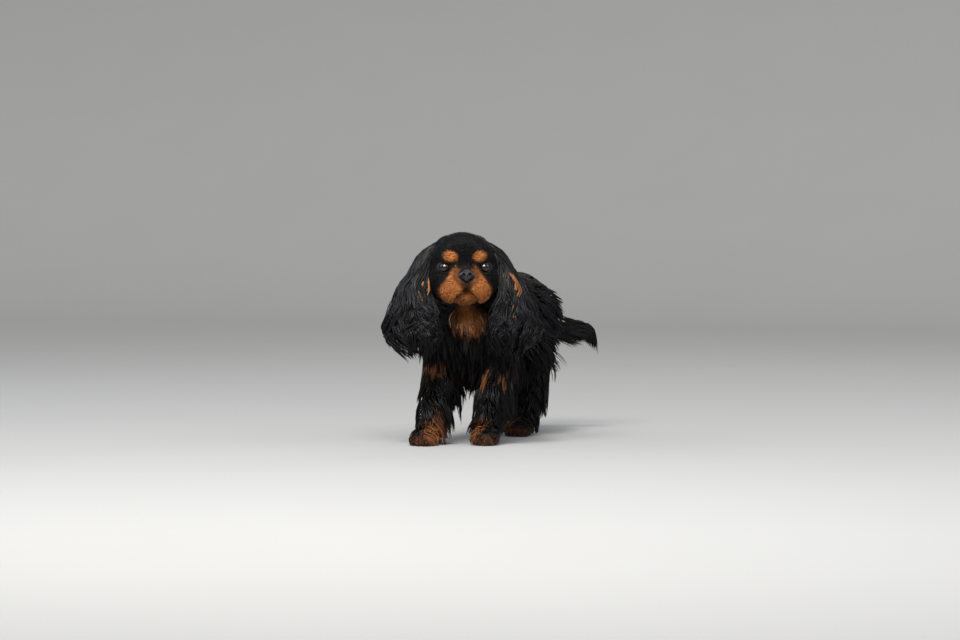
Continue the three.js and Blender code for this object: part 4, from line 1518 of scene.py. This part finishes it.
@dataclass
class Bell:
    """A form along a curve, that a soft part and its hair fill: rings of a half width and a half depth."""

    line: Array
    size: Array
    across: Array
    through: Array

    def at(self, t: Array, angle: Array, share: Array | float) -> Array:
        """Points at places along, round and out from the middle of the form."""
        size = smooth_curve(self.size, t)
        across = smooth_curve(self.across, t)
        through = smooth_curve(self.through, t)
        reach = np.asarray(share)[..., None]
        return (
            smooth_curve(self.line, t)
            + across * size[..., :1] * reach * np.cos(angle)[..., None]
            + through * size[..., 1:] * reach * np.sin(angle)[..., None]
        )

    def core(self, shop: Workshop, name: str, share: float, end: float) -> bpy.types.Object:
        """The soft part itself, a share of the form's size, from its start to some way along."""
        rings, around = 26, 28
        t = np.linspace(0, end, rings)
        angle = np.arange(around) / around * math.tau
        close = np.sqrt(np.clip(1 - (t / end) ** 8, 0.02, 1)) * share
        p = self.at(np.repeat(t, around), np.tile(angle, rings), np.repeat(close, around))
        p = np.vstack([p, smooth_curve(self.line, np.array([0, end]))])
        faces = []
        for i in range(rings - 1):
            for k in range(around):
                a, b = i * around + k, i * around + (k + 1) % around
                faces += [(a, a + around, b + around), (a, b + around, b)]
        first, last = rings * around, rings * around + 1
        for k in range(around):
            b = (k + 1) % around
            faces += [(first, k, b), (last, last - 1 - around + b, last - 1 - around + k)]
        obj = shop.from_faces(name, p, np.array(faces))
        shop.turn_faces_out(obj)
        return obj

    def grow(self, strands: Strands, name: str, hair: Hair, draw: np.random.Generator) -> bpy.types.Object:
        """Long strands that follow the form, gathered into wavy locks.

        Args:
            strands: what makes the mesh.
            name: the piece's name.
            hair: how the hair is.
            draw: the seeded draw.

        Returns:
            The object.
        """
        count, streak = hair.count, hair.streak
        heads = max(count // hair.locks, 1)
        t0 = draw.uniform(-0.02, 0.82, heads)
        angle0 = draw.uniform(0, math.tau, heads)
        reach0 = draw.uniform(0.8, 1.0, heads)
        length0 = draw.uniform(*hair.run, heads)
        phase0 = draw.uniform(0, math.tau, heads)
        lock = draw.integers(0, heads, count)
        phase = phase0[lock][:, None]
        t = np.linspace(0, 1, hair.steps + 1)[None]
        spread = 1 - 0.72 * t**1.2
        start = np.clip(t0[lock] + draw.normal(0, 0.02, count), 0, 0.84)
        stop = start + length0[lock] * draw.uniform(0.9, 1.06, count)
        stop = np.minimum(stop, 1 - draw.uniform(0, 0.14, heads)[lock])
        along = start[:, None] + (stop - start)[:, None] * t
        swing = hair.wave * np.sin(phase + along * 17.0) * (0.4 + along)
        swing = swing + hair.wave * 0.5 * np.sin(phase * 2.3 + along * 31.0) * along
        angle = angle0[lock][:, None] + draw.normal(0, 0.085, count)[:, None] * spread + swing
        reach = reach0[lock][:, None] + draw.normal(0, 0.035, count)[:, None] * spread
        reach = reach + 0.075 * np.sin(phase * 1.7 + along * 19.0) * (0.3 + along)
        reach = reach * (0.66 + 0.34 * np.minimum(t * 4, 1)) * (1 - 0.1 * t**3)
        paths = self.at(along, angle, reach * (1 - hair.taper * along**3))
        fall = hair.hang * draw.uniform(0, 1, heads)[lock] * draw.uniform(0.7, 1.1, count)
        paths[..., 2] -= fall[:, None] * t**2.2
        half_way = hair.steps // 2
        outs = unit(paths[:, half_way] - smooth_curve(self.line, along[:, half_way]))
        unwrap = np.column_stack([(angle0[lock] / math.tau) % 1.0, start])
        off = np.abs((angle0 - streak.angle + math.pi) % math.tau - math.pi)
        chosen = (off < streak.half) & (t0 > streak.start) & (t0 < streak.end)
        chosen &= draw.random(heads) < streak.share
        tan = chosen[lock] * draw.uniform(0.5, 1, count) * (draw.random(count) < 0.7)
        wide = draw.uniform(*hair.width, count)
        dye = Dye(draw.random(heads)[lock], tan * streak.pale, tan, np.full(count, hair.red), hair.fade)
        return strands.build(name, paths, outs, wide, unwrap, draw, dye)


EAR_ROWS = (
    (40, 40, 48, 13, 9),
    (58, 41, 30, 17, 11),
    (74, 40, -4, 24, 14),
    (84, 36, -42, 38, 19),
    (86, 31, -78, 54, 24),
    (84, 27, -112, 55, 25),
    (76, 24, -144, 20, 12),
)


def ear_bell(plan: HeadPlan, side: Side, flare: float = 35) -> Bell:
    """The bell of an ear and its hair."""
    s = side.value
    rows = np.array(EAR_ROWS, float)
    turn = math.radians(flare)
    ones = np.ones((len(rows), 1))
    across = plan.aim(np.array([[s * math.cos(turn), math.sin(turn), 0]])) * ones
    through = plan.aim(np.array([[-s * math.sin(turn), math.cos(turn), 0]])) * ones
    return Bell(plan.outwards(rows[:, :3] * np.array([s, 1, 1])), rows[:, 3:], across, through)


TAIL_ROWS = ((0, 160, 258), (10, 192, 246), (34, 220, 208), (64, 240, 193), (94, 254, 184), (112, 258, 158))


def tail_bell() -> Bell:
    """The tail and its plume."""
    knots = np.array(TAIL_ROWS, float)
    t = np.linspace(0, 1, 12)
    line = smooth_curve(knots, t)
    line[:, 2] -= 10 * np.sin(math.pi * np.minimum(t * 1.1, 1))
    along = unit(np.gradient(smooth_curve(knots, t), axis=0))
    across = unit(np.cross(along, np.array([0, 0, 1.0])))
    through = unit(np.cross(across, along))
    close = np.sqrt(np.maximum(1 - t**6, 0.05))
    size = np.column_stack([mix(11, 7, t) * close, mix(15, 22, np.sin(t * 3)) * close])
    return Bell(line, size, across, through)


WHITE = Colour(1, 0.985, 0.96)
SKY = Colour(0.84, 0.91, 1)


@dataclass
class Studio:
    """The pale floor, the soft lights and the camera at the photo's angle.

    Attributes:
        shop: what places the stage.
        azimuth: how far the camera is turned from the front, in degrees.
        elevation: how far it looks down.
        distance: how far off it stands, in millimetres.
        lens: its focal length.
        aim_across: how far to the right of the plan's origin, as the camera sees it, it aims.
        aim_deep: how far behind it.
        aim_high: how far over it.
        lights: the name, place and width of each soft light, in metres, its power and its colour.
    """

    shop: Workshop
    azimuth: float = 20
    elevation: float = 2.1
    distance: float = 5000
    lens: float = 112
    aim_across: float = -19.4
    aim_deep: float = -200
    aim_high: float = 213
    lights: tuple[tuple[str, tuple[float, float, float], float, float, Colour], ...] = (
        ("front", (0.3, -2.1, 2.0), 2.0, 92, WHITE),
        ("sky_left", (2.4, 0.3, 1.9), 2.2, 17, SKY),
        ("sky_right", (-2.4, -0.3, 1.8), 2.2, 18, SKY),
        ("rim", (0.3, 2.4, 2.6), 2.4, 13, WHITE),
    )

    def floor(self, back: float = 5.0, bend: float = 2.5) -> None:
        """The floor, a broad sheet that curves up far behind."""
        self.shop.clear_selection()
        low = float(self.shop.row(np.zeros(3))[2]) - 0.0004
        bpy.ops.mesh.primitive_grid_add(x_subdivisions=2, y_subdivisions=120, size=30)
        floor = bpy.context.object
        floor.name = floor.data.name = "floor"
        p = self.shop.points(floor)
        run = np.maximum(p[:, 1] - back, 0)
        angle = np.minimum(run / bend, math.pi / 2)
        p[:, 1] = np.minimum(p[:, 1], back) + bend * np.sin(angle)
        p[:, 2] = low + bend * (1 - np.cos(angle)) + np.maximum(run - bend * math.pi / 2, 0)
        self.shop.set_points(floor, p)
        bpy.ops.object.shade_smooth()
        finish = PlainFinish("floor", Colour(0.37, 0.368, 0.362), Colour(0.385, 0.383, 0.377), 0.8, 3)
        floor.data.materials.append(finish.make())

    def sun(self, place: tuple[float, float, float], strength: float, angle: float) -> None:
        """The main light, from far off and a little soft."""
        bpy.ops.object.light_add(type="SUN", location=place)
        lamp = bpy.context.object
        lamp.name = "key"
        lamp.data.energy = strength
        lamp.data.angle = math.radians(angle)
        lamp.rotation_euler = (-Vector(place)).to_track_quat("-Z", "Y").to_euler()

    def light(
        self, name: str, place: tuple[float, float, float], size: float, power: float, colour: Colour
    ) -> None:
        """A soft light, broader than it is high, that looks at the dog."""
        bpy.ops.object.light_add(type="AREA", location=place)
        lamp = bpy.context.object
        lamp.name = name
        lamp.data.shape = "RECTANGLE"
        lamp.data.size = size
        lamp.data.size_y = size * 0.45
        lamp.data.energy = power
        lamp.data.color = colour.rgba[:3]
        lamp.rotation_euler = (Vector((0, -0.05, 0.2)) - Vector(place)).to_track_quat("-Z", "Y").to_euler()

    def build(self) -> None:
        """Sets the stage."""
        self.floor()
        self.sun((0.1, -1.2, 2.1), 1.7, 13)
        for light in self.lights:
            self.light(*light)
        world = bpy.context.scene.world or bpy.data.worlds.new("studio")
        bpy.context.scene.world = world
        world.use_nodes = True
        background = world.node_tree.nodes["Background"]
        background.inputs["Color"].default_value = (0.9, 0.92, 0.94, 1)
        background.inputs["Strength"].default_value = 0.34
        bpy.context.scene.view_settings.view_transform = "Standard"
        self.camera()

    def camera(self) -> None:
        """The camera, framed as the photo is."""
        turn, rise = math.radians(self.azimuth), math.radians(self.elevation)
        across = np.array([math.cos(turn), math.sin(turn), 0])
        deep = np.array([-math.sin(turn), math.cos(turn), 0])
        aim = across * self.aim_across + deep * self.aim_deep + np.array([0, 0, self.aim_high])
        away = -deep * math.cos(rise) + np.array([0, 0, math.sin(rise)])
        data = bpy.data.cameras.new("camera")
        data.lens = self.lens
        data.sensor_width = 36
        data.clip_end = 100
        camera = bpy.data.objects.new("camera", data)
        camera.location = self.shop.row(aim + away * self.distance)
        camera.rotation_euler = Vector(-away).to_track_quat("-Z", "Y").to_euler()
        bpy.context.scene.collection.objects.link(camera)
        bpy.context.scene.camera = camera


@dataclass
class Spaniel:
    """The whole dog."""

    shop: Workshop
    flesh: Flesh = field(default_factory=Flesh)
    seed: int = 11

    def __post_init__(self) -> None:
        """Makes the finishes that pieces share."""
        self.marks = Markings(self.flesh)
        self.strands = Strands(self.shop, self.marks)
        self.coat = Coat(self.flesh, self.strands)
        self.fur = CoatFinish("fur").make()
        self.hide = CoatFinish("hide", roughness=0.85, gloss=0.15, bump_height=0.0004).make()
        self.leather = LeatherFinish("nose_leather").make()
        rim = LeatherFinish("lid_rim", roughness=0.6, gloss=0.15, wet=0.0, pebble=1400, height=0.0001)
        self.rim = rim.make()

    @property
    def thickness(self) -> float:
        return 1.0

    def faces(self) -> None:
        """The eyes, their lids and the nose."""
        plan = self.flesh.head
        for side in Side:
            eye = Eye(plan, self.shop, side)
            gaze = self.shop.row(plan.outwards(eye.gaze))
            finish = EyeFinish(f"eye_{side.word}", tuple(float(c) for c in gaze))
            self.shop.finish(eye.ball(), finish.make(), "eye", f"eye_{side.word}")
            self.shop.finish(eye.lids(), self.rim, "nose_leather")
        self.shop.finish(Nose(plan, self.shop).build(), self.leather, "nose_leather", "nose")

    def beds(self, pelt: Pelt) -> tuple[tuple[str, Array, int, Growth], ...]:
        """The beds of the coat: the name of each, the faces it grows on, its strands and how they grow."""
        plan, middle = self.flesh.head, pelt.middle
        head = plan.inwards(middle)
        x, y, z = np.abs(head[:, 0]), head[:, 1], head[:, 2]
        on_head = (plan.distance(head) < 3) & (y < 78) & (z > -75)
        eye_hole = np.hypot(x - plan.eye_x, z * 1.15) < 10.5
        nose_hole = np.hypot(x, (z - plan.nose[2]) * 1.2) < 12.8
        off, over = plan.off_mouth(head)
        lips = off < np.where(over, 1.7, 1.6)
        bare = (eye_hole | nose_hole | lips) & (y < 5) & on_head
        face = on_head & (y < 22) & ~bare
        crown = on_head & (y >= 18) & ~bare
        temple = crown & (x > 24) & (z > -6) & (y > 6)
        wide, deep, high = np.abs(middle[:, 0]), middle[:, 1], middle[:, 2]
        normal = unit(pelt.normal.mean(axis=1))
        leg = ~on_head & (high < 158) & (wide > 8)
        bib = ~on_head & ~leg & (deep < -118)
        trunk = ~on_head & ~leg & ~bib
        throat = ~on_head & (self.marks.throat(middle) > 0.4)
        breast = ~on_head & (deep < -70) & (high < 192) & (high > 132) & (wide < 58)
        belly = trunk & (high < 205) & (normal[:, 2] < 0.1)
        inner = normal[:, 0] * np.sign(middle[:, 0]) < -0.3
        behind = leg & ((normal[:, 1] > 0.1) | inner) & (high > 44)
        return (
            ("fur_face", face, 17000, Growth((3.2, 6.2), (0.75, 1.3), 2, 1.0, 0.12, 0.14, 0.35, 9)),
            ("fur_crown", crown, 6800, Growth((18, 32), (1.3, 2.1), 4, 5.0, 0.2, 0.1, 0.55, 12)),
            ("fur_temple", temple, 1700, Growth((32, 58), (1.5, 2.4), 6, 6.5, 0.5, 0.16, 0.7, 12)),
            ("fur_bib", bib, 5000, Growth((58, 112), (1.9, 3.2), 5, 9, 0.8, 0.34, 0.75, 14)),
            ("fur_throat", throat, 1400, Growth((18, 46), (1.2, 2.0), 5, 17, 0.8, 0.4, 0.85, 26)),
            ("fur_trunk", trunk, 6800, Growth((30, 54), (1.8, 3.0), 4, 3.0, 0.35, 0.22, 0.65, 12)),
            ("fur_legs", leg & (high > 2), 6200, Growth((34, 56), (1.6, 2.7), 4, 9, 0.45, 0.24, 0.62, 12)),
            ("fringe_breast", breast, 2600, Growth((84, 128), (1.9, 3.1), 5, 8, 0.8, 0.34, 0.75, 14)),
            ("fringe_belly", belly, 2800, Growth((50, 84), (1.9, 3.0), 5, 6, 0.75, 0.3, 0.75, 14)),
            ("fringe_legs", behind, 4600, Growth((50, 84), (1.8, 2.9), 5, 12, 0.62, 0.3, 0.75, 14)),
        )

    def body(self) -> None:
        """The skin and the coat on it."""
        skin = Skin(self.flesh, self.shop, self.marks).build()
        pelt = Pelt(self.shop, skin)
        self.shop.finish(skin, self.hide, "coat", "head", "neck", "torso", *self.flesh.body.legs)
        for i, (name, where, count, growth) in enumerate(self.beds(pelt)):
            draw = np.random.default_rng(self.seed + i)
            roots = pelt.roots(where, int(count * self.thickness), draw)
            pale = 0.8 * (draw.random(len(roots)) < 0.05) if name == "fur_throat" else None
            fade = {"fur_face": 0.0, "fur_throat": 0.55}.get(name, 0.35)
            piece = self.coat.grow(name, roots, growth, draw, self.share(name, roots.place), pale, fade)
            self.shop.finish(piece, self.fur, "coat")

    def share(self, name: str, place: Array) -> Array:
        """The share of its length and lift that a bed's coat has at places."""
        head = self.flesh.head.inwards(place)
        if name == "fur_face":
            return mix(0.35, 1.0, step_up(self.flesh.head.off_mouth(head)[0], 1.5, 7))
        if name == "fur_crown":
            return mix(0.3, 1.0, step_up(head[:, 1], 16, 46))
        if name in ("fur_legs", "fringe_legs"):
            return mix(0.16, 1.0, step_up(place[:, 2], 20, 66))
        if name == "fur_bib":
            return mix(1.0, 0.35, self.marks.spot(place, (25, -178, 236), (44, 60, 36), 0.5))
        return np.ones(len(place))

    def claws(self) -> None:
        """Four dark claws on each paw."""
        self.shop.clear_selection()
        made = []
        for leg in self.flesh.body.legs.values():
            for toe in self.flesh.body.toes(leg):
                front = Vector(toe.centre) - Vector((0, toe.radii[1], 0))
                base, tip = front + Vector((0, 4, -1)), front + Vector((0, -4, -6.5))
                made.append(self.shop.cone(base, tip, (2.2, 0.5), 10))
        claws = self.shop.join(made, "claws")
        bpy.ops.object.shade_smooth()
        self.shop.finish(claws, self.rim, "nose_leather")

    def soft_parts(self) -> None:
        """The ears and the tail with their hair."""
        streaks = {
            Side.LEFT: Streak(4.5, 0.45, 0.2, 0.34, 0.8, 0.12),
            Side.RIGHT: Streak(3.85, 0.2, 0.12, 0.36, 0.7, 0.12),
        }
        for side in Side:
            bell = ear_bell(self.flesh.head, side)
            self.dress_core(bell.core(self.shop, f"ear_leather_{side.word}", 0.74, 0.93), f"ear_{side.word}")
            hair = Hair(int(3700 * self.thickness), (0.3, 0.5), (1.9, 3.2), 0.3, 14, streaks[side], fade=0.8)
            draw = np.random.default_rng(self.seed + 40 + side.value)
            self.shop.finish(bell.grow(self.strands, f"ear_hair_{side.word}", hair, draw), self.fur, "coat")
        bell = tail_bell()
        self.dress_core(bell.core(self.shop, "tail_core", 0.45, 0.8), "tail")
        streak = Streak(math.pi / 2, 0.9, 0.1, 0.38, 0.8, 0.75)
        hair = Hair(int(2200 * self.thickness), (0.3, 0.55), (1.4, 2.4), 0.16, 24, streak, taper=0.7)
        draw = np.random.default_rng(self.seed + 50)
        self.shop.finish(bell.grow(self.strands, "tail_plume", hair, draw), self.fur, "coat")

    def dress_core(self, obj: bpy.types.Object, node: str) -> None:
        """Stores the markings on a soft part and finishes it."""
        p = self.shop.plan(self.shop.points(obj))
        self.shop.mark(obj.data, self.marks.tan(p), self.marks.rust(p), 0.1)
        self.shop.finish(obj, self.hide, "coat", node)

    def build(self) -> None:
        """Makes every piece."""
        self.faces()
        self.body()
        self.claws()
        self.soft_parts()


def main() -> None:
    """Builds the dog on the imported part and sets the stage."""
    logging.basicConfig(level=logging.INFO, format="%(name)s %(message)s")
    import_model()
    low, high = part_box("eye_left")
    head = HeadPlan()
    eye = head.outwards(np.array([[head.eye_x, head.eye_depth, 0.0]]))[0]
    shop = Workshop((np.array(low) + np.array(high)) / 2 / MM - eye)
    Spaniel(shop).build()
    Studio(shop).build()
    shop.clear_selection()


if __name__ == "__main__":
    main()
